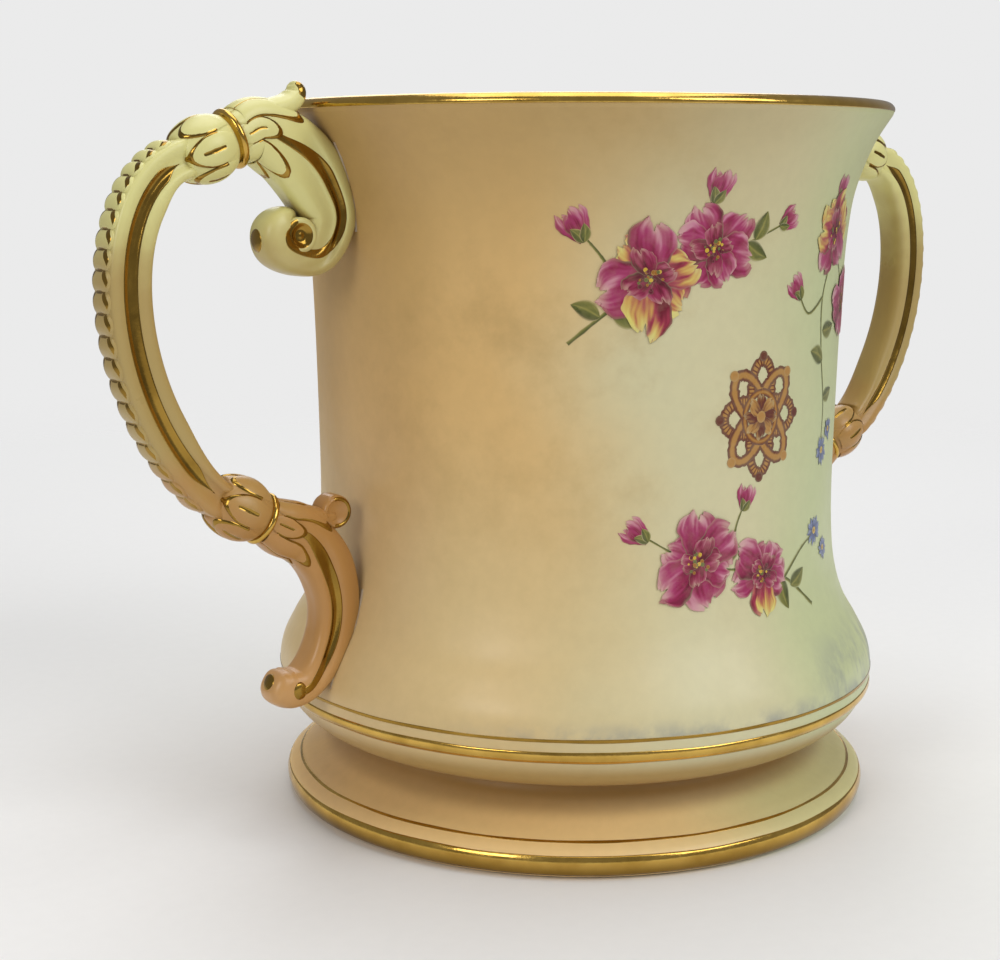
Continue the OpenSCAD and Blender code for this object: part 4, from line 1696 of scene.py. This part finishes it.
    def seam(self, path: np.ndarray, node: str) -> None:
        """Run a bead of slip along both edges where a scroll meets the cup.

        Args:
            path: The scroll's path.
            node: The CAD node that it stands for.
        """
        back = path[:, :2] - normals_of(path) * path[:, 2:3]
        gap = back[:, 0] - self.cup.wall_radius(back[:, 1])
        touching = np.where((gap < 0.9) & (back[:, 1] < self.cup.rim_z - 8))[0]
        rows = np.column_stack([back, path[:, 2:]])[touching[0] : touching[-1] + 1]
        wall = self.cup.wall_radius(rows[:, 1])
        ring = ring_angles(12)
        tubes = []
        for sign in (1, -1):
            wander = 1 + 0.35 * wave_noise(rows[:, 1] * 0.35, rows[:, 0] * 0.2, 2.0 + sign)
            taper = np.sin(np.linspace(0.04, 0.96, len(rows)) * math.pi) ** 0.35
            size = 0.5 * wander * taper
            angle = sign * np.arcsin(rows[:, 3] * 0.66 / wall)
            rings = np.empty((len(rows), len(ring), 3))
            radius = wall[:, None] + size[:, None] * 0.8 * np.cos(ring)
            turn = angle[:, None] + size[:, None] * 1.3 * np.sin(ring) / wall[:, None]
            rings[..., 0] = radius * np.cos(turn)
            rings[..., 1] = radius * np.sin(turn)
            rings[..., 2] = rows[:, 1:2]
            tubes.append(Shell.tube(rings))
        self.add(tubes[0].joined(tubes[1]), f"{node}_seam", Slot.SLIP, self.slip, node)

    def lower_scroll(self) -> None:
        """Model the lower scroll, which runs down the cup and turns out above the shoulder."""
        c, w = self.cup, self.sizes.scroll_half_w
        tilt = self.sizes.lower_tilt
        low = c.shoulder_z
        start = [(0.4, 4.6, 0.2), (-1.2, 4.8, 0.2), (-4.2, 5.4, 0.2)]
        rest = [(14.0, 35.6, 5.6, -0.1), (9.2, 29.8, 5.5, -0.5), (6.9, 22.4, 5.0, -0.8)]
        rest += [(7.3, 15.6, 4.7, -0.8), (10.0, 9.4, 4.2, -0.5), (13.8, 5.4, 3.8, -0.1)]
        rest += [(17.2, 4.4, 3.9, 0.0), (19.6, 5.0, 3.8, -0.1), (21.1, 5.8, 3.1, -0.6)]
        rest += [(22.0, 6.3, 1.9, -1.8), (22.2, 6.4, 0.3, -3.9)]
        path = self.scroll_path(self.lower_seat, tilt, start, (c.waist_r, low), rest)
        rows = np.arange(len(path))
        section = self.changing_section(LOWER_SECTION, len(path), 66, 84)
        leaves = self.leaves(path, ((8, 34), (50, 37), (93, 28), (136, 35), (178, 33)))
        middle, half = LOWER_CHANNEL
        run = slice(26, 90)
        centre = middle * smooth_step(26, 42, rows) * smooth_step(90, 70, rows)
        width = half * (0.48 + 0.52 * smooth_step(26, 38, rows)) * (1 - 0.25 * smooth_step(62, 84, rows))
        gild = self.channel(path[run], section[run], centre[run], width[run])
        dots = [self.dot(np.array([c.waist_r + 22.4, low + 6.2]), (0.93, 0.36), 2.1, 2.1)]
        for sign in (1, -1):
            dots.append(self.side_dot(np.array([c.waist_r + 17.3, low + 4.7]), sign * (w - 0.06), 1.9))
        self.scroll("lower", Slot.APRICOT, path, section, (leaves,), gild.joined(*dots))

    @staticmethod
    def side_dot(centre: np.ndarray, across: float, size: float) -> Shell:
        """Make a round gilt dot on a roll's side.

        Args:
            centre: Its place in the handle's plane.
            across: Its place across the handle.
            size: Its radius.

        Returns:
            The dot, as a thin lens.
        """
        sign = math.copysign(1, across)
        lens = ((0.0, 0.22), (0.4, 0.18), (0.75, 0.08), (1.0, -0.2), (0.9, -0.7), (0.0, -0.7))
        rows = [(share, across + sign * lift) for share, lift in lens]
        return Shell.disc(centre, size, rows, np.zeros((len(rows), 28)))

    def curled_leaf(self, base: Point, rows: Sequence[tuple[float, ...]], line: float) -> Shell:
        """Sweep a small leaf with gilt edges.

        Args:
            base: Place from which its path is measured.
            rows: Offsets of its path from that place, with half sizes.
            line: Share of the half thickness, on the outer side of the curl, at which its gilding begins.

        Returns:
            The leaf.
        """
        section = closed_section(LEAF_SECTION, 5)
        path = spline(np.array(rows) + (*base, 0, 0), self.STEPS)
        rings = self.seated(sweep(path, section))
        share = np.linspace(0, 1, len(path))
        late = (smooth_step(0.42, 0.56, share) * smooth_step(0.94, 0.86, share))[:, None]
        gilt = smooth_step(line - 0.06, line + 0.06, section[:, 0])[None, :] * late
        return Shell.tube(rings, gilt)

    def rim_leaf(self) -> None:
        """Model the leaf tip that stands against the lip."""
        rows = [(13.0, -3.2, 2.2, 4.2), (8.6, -2.4, 2.2, 4.0), (5.6, -1.5, 2.1, 3.6), (3.9, -0.3, 2.0, 3.1)]
        rows += [(3.2, 0.8, 1.8, 2.7), (3.3, 1.8, 1.5, 2.3), (3.7, 2.5, 0.9, 1.6), (3.9, 2.7, 0.2, 0.6)]
        leaf = self.curled_leaf((self.cup.rim_r, self.cup.rim_z), rows, -0.35)
        self.add(leaf, "rim_leaf_tip", Slot.IVORY, self.glaze, "rim_leaf")

    @staticmethod
    def rolled_end(centre: np.ndarray, size: float, half_w: float) -> Shell:
        """Model the rolled end of a leaf, a gilt line on each side running round its back.

        Args:
            centre: The roll's middle in the handle's plane.
            size: Radius of the roll.
            half_w: Half its width across the handle.

        Returns:
            The rolled end.
        """
        side = [(0.0, -0.5), (0.35, -0.42), (0.56, -0.2), (0.66, -0.06), (0.69, 0.08), (0.74, 0.2)]
        side += [(0.79, 0.24), (0.84, 0.2), (0.89, 0.04), (0.92, -0.14), (0.98, -0.6), (1.0, -1.1)]
        rows = [(share, half_w + lift) for share, lift in side]
        rows += [(share, -across) for share, across in reversed(rows)]
        arc = smooth_step(1.95, 1.75, np.abs(ring_angles(48) - math.pi))
        gilt = np.array([arc * (0.68 < share < 0.9) for share, _ in rows])
        return Shell.disc(centre, size, rows, gilt)

    def lower_leaf(self) -> None:
        """Model the small leaf that curls back against the cup."""
        c = self.cup
        curl = np.array([c.waist_r + 6.8, c.shoulder_z + 39.8])
        rows = [(18.0, 40.4, 1.8, 3.4), (14.0, 39.8, 2.2, 3.8), (10.4, 38.9, 2.1, 3.4)]
        rows += [(8.6, 38.8, 1.9, 2.6), (7.0, 39.0, 1.5, 2.2), (6.4, 39.1, 0.8, 1.2)]
        leaf = self.curled_leaf((c.waist_r, c.shoulder_z), rows, 2.0)
        leaf = leaf.joined(self.rolled_end(curl, 3.5, 2.5))
        self.add(leaf, "lower_leaf_curl", Slot.APRICOT, self.glaze, "lower_leaf")


# The painting


@dataclass(frozen=True)
class Bloom:
    """An open blossom with rounded petals."""

    at: Point
    size: float
    turn: float
    petals: int = 5
    seed: int = 1
    cool: float = 0.85


@dataclass(frozen=True)
class Blade:
    """A leaf, bud or other single stroke."""

    at: Point
    size: float
    turn: float


@dataclass(frozen=True)
class Spray:
    """A painted spray: its stems, blossoms, buds, leaves and small blue flowers, on the unrolled wall."""

    stems: Sequence[Sequence[Point]]
    blooms: Sequence[Bloom]
    buds: Sequence[Blade]
    leaves: Sequence[Blade]
    stars: Sequence[Bloom] = ()


# Tones from dark to pale
PINKS: Tones = ((0.12, 0.003, 0.020), (0.28, 0.012, 0.068), (0.40, 0.045, 0.15), (0.60, 0.24, 0.34))
DEEPS: Tones = ((0.09, 0.002, 0.012), (0.21, 0.008, 0.040), (0.33, 0.03, 0.095), (0.42, 0.09, 0.17))
WARMS: Tones = ((0.16, 0.004, 0.020), (0.36, 0.03, 0.070), (0.62, 0.36, 0.09), (0.74, 0.66, 0.15))
GREENS: Tones = ((0.045, 0.055, 0.012), (0.13, 0.14, 0.028), (0.30, 0.27, 0.065))
BLUES: Tones = ((0.03, 0.035, 0.11), (0.11, 0.15, 0.32), (0.30, 0.33, 0.45))
YELLOW: Colour = (0.62, 0.40, 0.03)
AMBER: Colour = (0.33, 0.13, 0.012)
RUSSET: Colour = (0.125, 0.022, 0.009)
OLD_GOLD: Colour = (0.44, 0.22, 0.05)


@dataclass
class Painter:
    """Lays enamel strokes on the cup's wall, on the side that faces so many degrees from the front."""

    cup: CupSizes
    enamel: Material
    facing: float = 0.0

    BASE_LIFT = 0.035
    LAYER_STEP = 0.003
    STEM_HALF = 0.42
    INNER_PETALS = 4
    STAMENS = 26

    def __post_init__(self) -> None:
        """Start the first piece."""
        self.clear()

    def clear(self) -> None:
        """Start a new piece."""
        self.verts: list[np.ndarray] = []
        self.faces: list[tuple[int, ...]] = []
        self.paint: list[np.ndarray] = []
        self.count = 0
        self.layer = 0

    def stroke(
        self, flat: np.ndarray, colour: np.ndarray | Colour, alpha: np.ndarray, wrap: bool = False
    ) -> None:
        """Lay a grid of points on the wall.

        Args:
            flat: Rows by columns by 2: distance round the waist from the middle, and height.
            colour: Rows by columns by 3, or one colour for all.
            alpha: How far the colour covers the ground.
            wrap: Whether the last column joins the first.
        """
        rows, cols = flat.shape[:2]
        lift = self.BASE_LIFT + self.LAYER_STEP * self.layer
        self.layer += 1
        a = flat[..., 0] / self.cup.waist_r + math.radians(self.facing)
        radius = self.cup.wall_radius(flat[..., 1]) + lift
        points = np.stack([radius * np.sin(a), -radius * np.cos(a), flat[..., 1]], axis=-1)
        paint = np.empty((rows, cols, 4))
        paint[..., :3] = colour
        paint[..., 3] = alpha
        self.faces += grid_faces(rows, cols, wrap, self.count)
        self.verts.append(points.reshape(-1, 3))
        self.paint.append(paint.reshape(-1, 4))
        self.count += rows * cols

    @staticmethod
    def turned(x: np.ndarray, y: np.ndarray, at: Point, turn: float) -> np.ndarray:
        """Turn a stroke's own axes and set it in place; a turn of 0 points it up the wall.

        Args:
            x: Places across the stroke.
            y: Places along it.
            at: Its foot.
            turn: In degrees.

        Returns:
            Points on the unrolled wall.
        """
        a = math.radians(turn)
        c, s = math.cos(a), math.sin(a)
        return np.stack([at[0] + x * c + y * s, at[1] - x * s + y * c], axis=-1)

    @staticmethod
    def ramp(tones: Tones, share: np.ndarray) -> np.ndarray:
        """Pick colours along a row of tones.

        Args:
            tones: The tones.
            share: Shares of the way along them.

        Returns:
            A colour for each share.
        """
        spots = np.linspace(0, 1, len(tones))
        share = np.clip(share, 0, 1)
        return np.stack([np.interp(share, spots, [t[k] for t in tones]) for k in range(3)], axis=-1)

    def petal(
        self, at: Point, length: float, width: float, turn: float, tones: Tones, seed: float
    ) -> None:
        """Paint one petal, dark at its foot, streaked, and paler to its frilled edge.

        Args:
            at: Its foot.
            length: Its length.
            width: Half its width.
            turn: The way that it points.
            tones: Colours from foot to edge.
            seed: Varies its shape and streaks.
        """
        u = np.linspace(0.04, 1, 24)[:, None]
        v = np.linspace(-1, 1, 37)[None, :]
        half = width * (0.30 + 0.70 * np.sin(math.pi * 0.5 * np.minimum(u * 1.35, 1)) ** 0.9)
        half = half * np.sqrt(np.clip(1 - np.clip((u - 0.62) / 0.40, 0, 1) ** 3, 0, 1))
        frill = 1 + 0.06 * np.sin(5 * v + seed) * u**2 - 0.08 * np.exp(-((v / 0.18) ** 2)) * u**4
        frill = frill + 0.035 * np.sin(13 * v + 2.3 * seed) * u**3
        x = v * half * (1 + 0.05 * np.sin(9 * u + seed * 2) + 0.03 * np.sin(23 * u + seed * 5))
        y = length * u * frill + 0.12 * length * np.sin(seed) * v * u
        streak = 0.13 * np.sin(10 * v + 3 * np.sin(seed + 2 * u)) * u
        streak = streak + 0.26 * wave_noise(1.5 * u, 2.0 * v, seed)
        streak = streak + 0.24 * wave_noise(1.1 * u, 7.0 * v, 1.9 * seed + 1) * u**0.6
        fold = 0.36 * math.sin(1.7 * seed) * v
        share = 0.80 * u**1.2 + streak + fold - 0.14 * smooth_step(0.82, 1.0, np.abs(v))
        alpha = 1 - 0.16 * smooth_step(0.5, 1.0, u) * smooth_step(0.4, 0.9, share)
        alpha = alpha - 0.22 * smooth_step(0.86, 1.0, np.maximum(u, np.abs(v)))
        self.stroke(self.turned(x, y, at, turn), self.ramp(tones, share), alpha)

    def spot(self, at: Point, size: float, colour: Colour) -> None:
        """Touch in a round dot.

        Args:
            at: Its middle.
            size: Its radius.
            colour: Its colour.
        """
        ring = ring_angles(12)[None, :]
        share = np.array([0.0, 0.55, 1.0])[:, None]
        flat = self.turned(share * size * np.cos(ring), share * size * np.sin(ring), at, 0)
        self.stroke(flat, colour, np.array([1.0, 1.0, 0.85])[:, None], wrap=True)

    def stem(
        self,
        points: Sequence[Point],
        width: float,
        tones: Tones,
        taper: float = 0.5,
        edge: float = 0.25,
        bars: int = 0,
    ) -> None:
        """Draw a fine line through points.

        Args:
            points: Points on the unrolled wall.
            width: Half its width at the start.
            tones: Colours from one edge to the other.
            taper: Width left at its end, as a share.
            edge: How far its edges cover the ground.
            bars: Fine dark bars drawn across it.
        """
        line = spline(points, 14)
        d = np.gradient(line, axis=0)
        n = np.column_stack([-d[:, 1], d[:, 0]]) / np.linalg.norm(d, axis=1)[:, None]
        v = np.linspace(-1, 1, 7)
        thin = width * np.linspace(1, taper, len(line))[:, None]
        thin = thin * (1 + 0.2 * wave_noise(line[:, :1], line[:, 1:], 0.7))
        flat = line[:, None, :] + n[:, None, :] * (thin * v)[..., None]
        colour = np.tile(self.ramp(tones, (v + 1) / 2), (len(line), 1, 1))
        dark = np.linspace(0, bars, len(line)) % 1 > 0.6
        colour[dark, 1:-1] = RUSSET
        self.stroke(flat, colour, np.array([edge, 0.95, 1.0, 1.0, 1.0, 0.95, edge]))

    def leaf(self, blade: Blade) -> None:
        """Paint a pointed leaf with a pale midrib.

        Args:
            blade: Its place, size and turn.
        """
        u = np.linspace(0, 1, 16)[:, None]
        v = np.linspace(-1, 1, 11)[None, :]
        half = blade.size * 0.30 * np.sin(math.pi * u**0.8) ** 0.85
        x = v * half + 0.10 * blade.size * np.sin(2.4 * u)
        y = blade.size * u
        rib = 0.5 * np.exp(-((v / 0.14) ** 2))
        share = 0.45 + 0.35 * v + 0.2 * wave_noise(3 * u, 2 * v, blade.turn) + rib
        alpha = 1 - 0.7 * smooth_step(0.75, 1.0, np.abs(v))
        self.stroke(self.turned(x, y, blade.at, blade.turn), self.ramp(GREENS, share), alpha)

    def bloom(self, bloom: Bloom) -> None:
        """Paint an open blossom with its stamens.

        Args:
            bloom: What to paint.
        """
        draw = np.random.default_rng(bloom.seed)
        for k in draw.permutation(bloom.petals):
            turn = bloom.turn + 360 / bloom.petals * k + draw.uniform(-11, 11)
            length = bloom.size * draw.uniform(0.82, 1.14)
            width = bloom.size * draw.uniform(0.42, 0.58)
            tones = PINKS if draw.uniform(0, 1) < bloom.cool else WARMS
            self.petal(bloom.at, length, width, turn, tones, draw.uniform(0, 6))
        for k in range(self.INNER_PETALS):
            turn = bloom.turn + 40 + 90 * k + draw.uniform(-25, 25)
            length = bloom.size * draw.uniform(0.42, 0.62)
            self.petal(bloom.at, length, length * draw.uniform(0.4, 0.55), turn, DEEPS, draw.uniform(0, 6))
        for _ in range(self.STAMENS):
            a, r = draw.uniform(0, 2 * math.pi), bloom.size * draw.uniform(0.04, 0.30)
            tone = (YELLOW, AMBER, GREENS[1], PINKS[0])[int(draw.integers(0, 4))]
            at = (bloom.at[0] + r * math.cos(a), bloom.at[1] + r * math.sin(a))
            self.spot(at, bloom.size * draw.uniform(0.025, 0.055), tone)

    def star(self, bloom: Bloom) -> None:
        """Paint a small blue flower with narrow rays.

        Args:
            bloom: What to paint.
        """
        draw = np.random.default_rng(bloom.seed)
        for k in range(bloom.petals):
            turn = bloom.turn + 360 / bloom.petals * k + draw.uniform(-8, 8)
            length = bloom.size * draw.uniform(0.8, 1.1)
            self.petal(bloom.at, length, bloom.size * 0.2, turn, BLUES, draw.uniform(0, 6))
        self.spot(bloom.at, bloom.size * 0.26, YELLOW)
        self.spot(bloom.at, bloom.size * 0.12, AMBER)

    def bud(self, blade: Blade) -> None:
        """Paint a closed bud in its green cup.

        Args:
            blade: Its place, size and turn.
        """
        for spread in (-16, 14, 0):
            self.petal(blade.at, blade.size, blade.size * 0.30, blade.turn + spread, PINKS, 1.3 + spread)
        for spread in (-24, 22):
            self.leaf(Blade(blade.at, blade.size * 0.55, blade.turn + spread))

    def spray(self, name: str, spray: Spray) -> None:
        """Paint a whole spray as one piece.

        Args:
            name: The piece's name.
            spray: What to paint.
        """
        for points in spray.stems:
            self.stem(points, self.STEM_HALF, GREENS)
        for blade in spray.leaves:
            self.leaf(blade)
        for blade in spray.buds:
            self.bud(blade)
        for flower in spray.stars:
            self.star(flower)
        for flower in spray.blooms:
            self.bloom(flower)
        self.finish(name)

    def rosette(self, name: str, at: Point, size: float) -> None:
        """Paint a gilt and russet rosette of interlaced foils.

        Args:
            name: The piece's name.
            at: Its middle.
            size: Its outer radius.
        """
        a = np.linspace(0, 2 * math.pi, 41)
        rust = (RUSSET, RUSSET, AMBER, OLD_GOLD, AMBER, RUSSET, RUSSET)
        gold = (RUSSET, RUSSET, OLD_GOLD, OLD_GOLD, OLD_GOLD, RUSSET, RUSSET)
        for turn, bars in ((0.0, 96), (math.pi / 4, 0)):
            radius = size * (0.68 + 0.25 * np.cos(4 * (a - turn)))
            ring = [(at[0] + 0.84 * r * math.sin(t), at[1] + r * math.cos(t)) for r, t in zip(radius, a)]
            self.stem(ring, 1.15, gold, 1.0, 0.9, bars)
        ring = [(at[0] + 0.36 * size * math.sin(t), at[1] + 0.41 * size * math.cos(t)) for t in a]
        self.stem(ring, 0.75, rust, 1.0, 0.9)
        for k in range(8):
            t = math.pi / 4 * k
            tones = (RUSSET, OLD_GOLD, OLD_GOLD) if k % 2 else (RUSSET, RUSSET, AMBER)
            self.petal(at, 0.36 * size, 0.11 * size, math.degrees(t), tones, 0.3 * k)
            far = (at[0] + 0.86 * size * math.sin(t), at[1] + size * math.cos(t))
            self.spot(far, 0.09 * size, OLD_GOLD if k % 2 else RUSSET)
        self.spot(at, 0.1 * size, OLD_GOLD)
        self.finish(name)

    def finish(self, name: str) -> None:
        """Make the strokes laid so far into a piece, and start a new one.

        Args:
            name: The piece's name.
        """
        verts = np.vstack(self.verts)
        mesh = bpy.data.meshes.new(name)
        mesh.from_pydata((verts * MM).tolist(), [], self.faces)
        layer = mesh.color_attributes.new(PAINT_LAYER, "FLOAT_COLOR", "POINT")
        layer.data.foreach_set("color", np.vstack(self.paint).astype(np.float32).reshape(-1))
        mesh.polygons.foreach_set("use_smooth", [True] * len(mesh.polygons))
        place(link(name, mesh), Slot.GLAZE, self.enamel)
        self.clear()


# Places are the distance round the waist from the middle, and the height
FRONT_SPRAYS: dict[str, Spray] = {
    "upper_spray": Spray(
        stems=[
            [(-40, 104), (-30, 112), (-20, 118), (-9, 121), (4, 126)],
            [(-20, 118), (-16, 126), (-13, 131)],
            [(-30, 112), (-33, 119), (-37, 124)],
        ],
        blooms=[Bloom((-12, 121.5), 8.0, 40, 6, 8), Bloom((-24.5, 116.5), 9.6, 10, 6, 3, 0.45)],
        buds=[Blade((-13, 130), 6.0, 12), Blade((-37, 123), 6.5, -28), Blade((3, 125.5), 5.0, 62)],
        leaves=[
            Blade((-32, 110), 7, 100),
            Blade((-34, 109), 6, -70),
            Blade((-3, 123), 6, 20),
            Blade((-5, 122.5), 6, 115),
        ],
    ),
    "side_spray": Spray(
        stems=[
            [(24, 131), (25, 121), (21, 111), (22, 100), (25, 88), (24, 76)],
            [(25, 121), (31, 116), (36, 108)],
            [(21, 111), (15, 108), (11, 112)],
        ],
        blooms=[Bloom((24.5, 124), 8.4, 24, 6, 12, 0.6), Bloom((35, 109), 7.4, 60, 5, 21)],
        buds=[Blade((12, 111), 5.4, -40), Blade((24, 130), 5.0, 6)],
        leaves=[Blade((22, 104), 6.5, 78), Blade((23, 98), 6.5, -74), Blade((24.5, 90), 5.5, 70)],
        stars=[Bloom((25, 79), 2.9, 10, 11, 4), Bloom((29, 83), 2.4, 25, 10, 6)],
    ),
    "lower_spray": Spray(
        stems=[
            [(18, 48), (9, 55), (-2, 58), (-13, 60), (-24, 66)],
            [(-2, 58), (-5, 65), (-3, 71)],
            [(9, 55), (16, 60), (22, 62)],
        ],
        blooms=[Bloom((2.5, 57), 7.4, 8, 6, 17, 0.75), Bloom((-13.5, 61), 8.6, 50, 6, 31)],
        buds=[Blade((-24, 65.5), 5.6, -52), Blade((-3, 70), 5.0, 14)],
        leaves=[Blade((8, 55), 6.5, 165), Blade((11, 53), 6.0, 58), Blade((-7, 60), 5.5, 20)],
        stars=[Bloom((22, 62.5), 3.0, 0, 11, 9), Bloom((27, 58), 2.5, 15, 10, 14)],
    ),
}
BACK_SPRAYS: dict[str, Spray] = {
    "back_spray": Spray(
        stems=[
            [(22, 70), (12, 82), (2, 90), (-10, 96), (-20, 108)],
            [(2, 90), (6, 100), (4, 110)],
            [(12, 82), (22, 86), (30, 94)],
        ],
        blooms=[Bloom((5, 92), 7.8, 48, 6, 44), Bloom((-9, 96), 9.0, 15, 6, 41, 0.65)],
        buds=[Blade((-20, 107), 6.0, -32), Blade((4, 109), 5.4, 6), Blade((30, 93), 5.4, 50)],
        leaves=[Blade((12, 82), 7, 10), Blade((16, 77), 6.5, 100), Blade((-14, 100), 6, -80)],
        stars=[Bloom((22, 72), 2.8, 0, 11, 51), Bloom((27, 77), 2.4, 12, 10, 52)],
    )
}


# The studio


@dataclass(frozen=True)
class Softbox:
    """A square soft light."""

    name: str
    at: tuple[float, float, float]
    size: float
    power: float
    tint: Colour = (1.0, 1.0, 1.0)


@dataclass(frozen=True)
class Studio:
    """Floor, lights and camera. The camera's place and lens are fitted to the photograph."""

    camera_at: tuple[float, float, float] = (-0.2417, -0.2984, 0.1365)
    camera_way: tuple[float, float, float] = (0.5857, 0.7911, -0.1762)
    lens: float = 62.64
    sensor: float = 36.0
    aim: tuple[float, float, float] = (0.0, 0.0, 0.08)
    paper: float = 0.86
    paper_matt: float = 0.9
    paper_shine: float = 0.1
    paper_fade: Point = (0.22, 0.75)
    room: float = 0.26
    backdrop: float = 0.83
    lights: tuple[Softbox, ...] = (
        Softbox("key_softbox", (0.30, -0.95, 0.75), 0.7, 5.9),
        Softbox("left_softbox", (-1.05, -0.35, 0.55), 0.45, 3.3, (1.0, 0.97, 0.93)),
        Softbox("top_softbox", (0.1, 0.1, 1.25), 1.0, 7.0),
        Softbox("back_softbox", (0.6, 0.9, 0.8), 0.8, 4.0),
    )

    def build(self) -> None:
        """Set up the studio."""
        self.floor()
        self.world()
        for box in self.lights:
            self.light(box)
        self.camera()
        settings = bpy.context.scene.view_settings
        settings.view_transform = "Standard"
        settings.look = "None"

    def floor(self) -> None:
        """Lay the pale floor."""
        outline = np.array([(0.0, 0.0), (200.0, 0.0), (400.0, 0.0), (700.0, 0.0), (1000.0, 0.0)])
        made = Shell.lathe(outline, 64).piece("floor")
        material, t, shader = Finish("pale_paper").begin()
        where = t.place()
        grain = t.span(t.noise(where, 300.0, 2.0), 0.3, 0.7, self.paper - 0.004, self.paper + 0.004)
        t.feed(shader.inputs["Base Color"], t.grey(grain))
        shader.inputs["Roughness"].default_value = self.paper_matt
        shader.inputs["Specular IOR Level"].default_value = self.paper_shine
        reach = t.fed("ShaderNodeVectorMath", {0: where}, operation="LENGTH").outputs["Value"]
        t.feed(shader.inputs["Alpha"], t.span(reach, *self.paper_fade, 1.0, 0.0))
        made.data.materials.append(material)

    def world(self) -> None:
        """Light the room softly, and show it pale behind the cup."""
        world = bpy.data.worlds.new("room")
        bpy.context.scene.world = world
        world.use_nodes = True
        t = Tree(world.node_tree)
        shade = world.node_tree.nodes["Background"]
        seen = t.node("ShaderNodeLightPath").outputs["Is Camera Ray"]
        t.feed(shade.inputs["Color"], t.blend(seen, (self.room,) * 3, (self.backdrop,) * 3))

    def light(self, box: Softbox) -> None:
        """Hang one softbox, facing the cup.

        Args:
            box: The softbox.
        """
        lamp = bpy.data.lights.new(box.name, "AREA")
        lamp.shape = "SQUARE"
        lamp.size = box.size
        lamp.energy = box.power
        lamp.color = box.tint
        made = link(box.name, lamp)
        made.location = box.at
        made.rotation_euler = (Vector(self.aim) - Vector(box.at)).to_track_quat("-Z", "Y").to_euler()

    def camera(self) -> None:
        """Stand the camera where the photograph was taken from."""
        data = bpy.data.cameras.new("photo_camera")
        data.lens = self.lens
        data.sensor_width = self.sensor
        data.sensor_fit = "HORIZONTAL"
        data.clip_start = 0.01
        data.clip_end = 60
        made = link("photo_camera", data)
        made.location = self.camera_at
        made.rotation_euler = Vector(self.camera_way).to_track_quat("-Z", "Y").to_euler()
        bpy.context.scene.camera = made


def clear_scene() -> None:
    """Empty the starting scene."""
    for made in list(bpy.data.objects):
        bpy.data.objects.remove(made)


def main() -> None:
    """Load the frame, build every sub-assembly in order and note the sizes."""
    logging.basicConfig(level=logging.INFO, format="%(name)s: %(message)s")
    clear_scene()
    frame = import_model()
    LOG.info("frame: %d nodes", len(frame["nodes"]))
    effects = Effects(BlushTones())
    glaze = BlushGlaze("blush_ivory").make(effects)
    gilding = BandGilding("burnished_gilding", wear=0.3).make(effects)
    dark_gilding = BandGilding("channel_gilding", wear=0.1, gold=DARK_GOLD).make(effects)
    moulding = HandleGlaze("handle_glaze", gold=DARK_GOLD).make(effects)
    slip = FiredSlip("fired_slip").make(effects)
    enamel = Enamel("painted_enamel").make(effects)
    cup = CupSizes()
    frame_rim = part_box("cup_body")[1].z / MM
    LOG.info("rim at %.2f mm in the frame, %.2f mm here", frame_rim, cup.rim_z)
    Cup(cup, glaze, gilding, dark_gilding).build()
    for side in Side:
        Handle(side, cup, HandleSizes(), moulding, gilding, dark_gilding, slip).build()
    painter = Painter(cup, enamel)
    for name, spray in FRONT_SPRAYS.items():
        painter.spray(name, spray)
    painter.rosette("front_rosette", (1.0, 88.5), 12.0)
    back = Painter(cup, enamel, 180)
    for name, spray in BACK_SPRAYS.items():
        back.spray(name, spray)
    Studio().build()


if __name__ == "__main__":
    main()
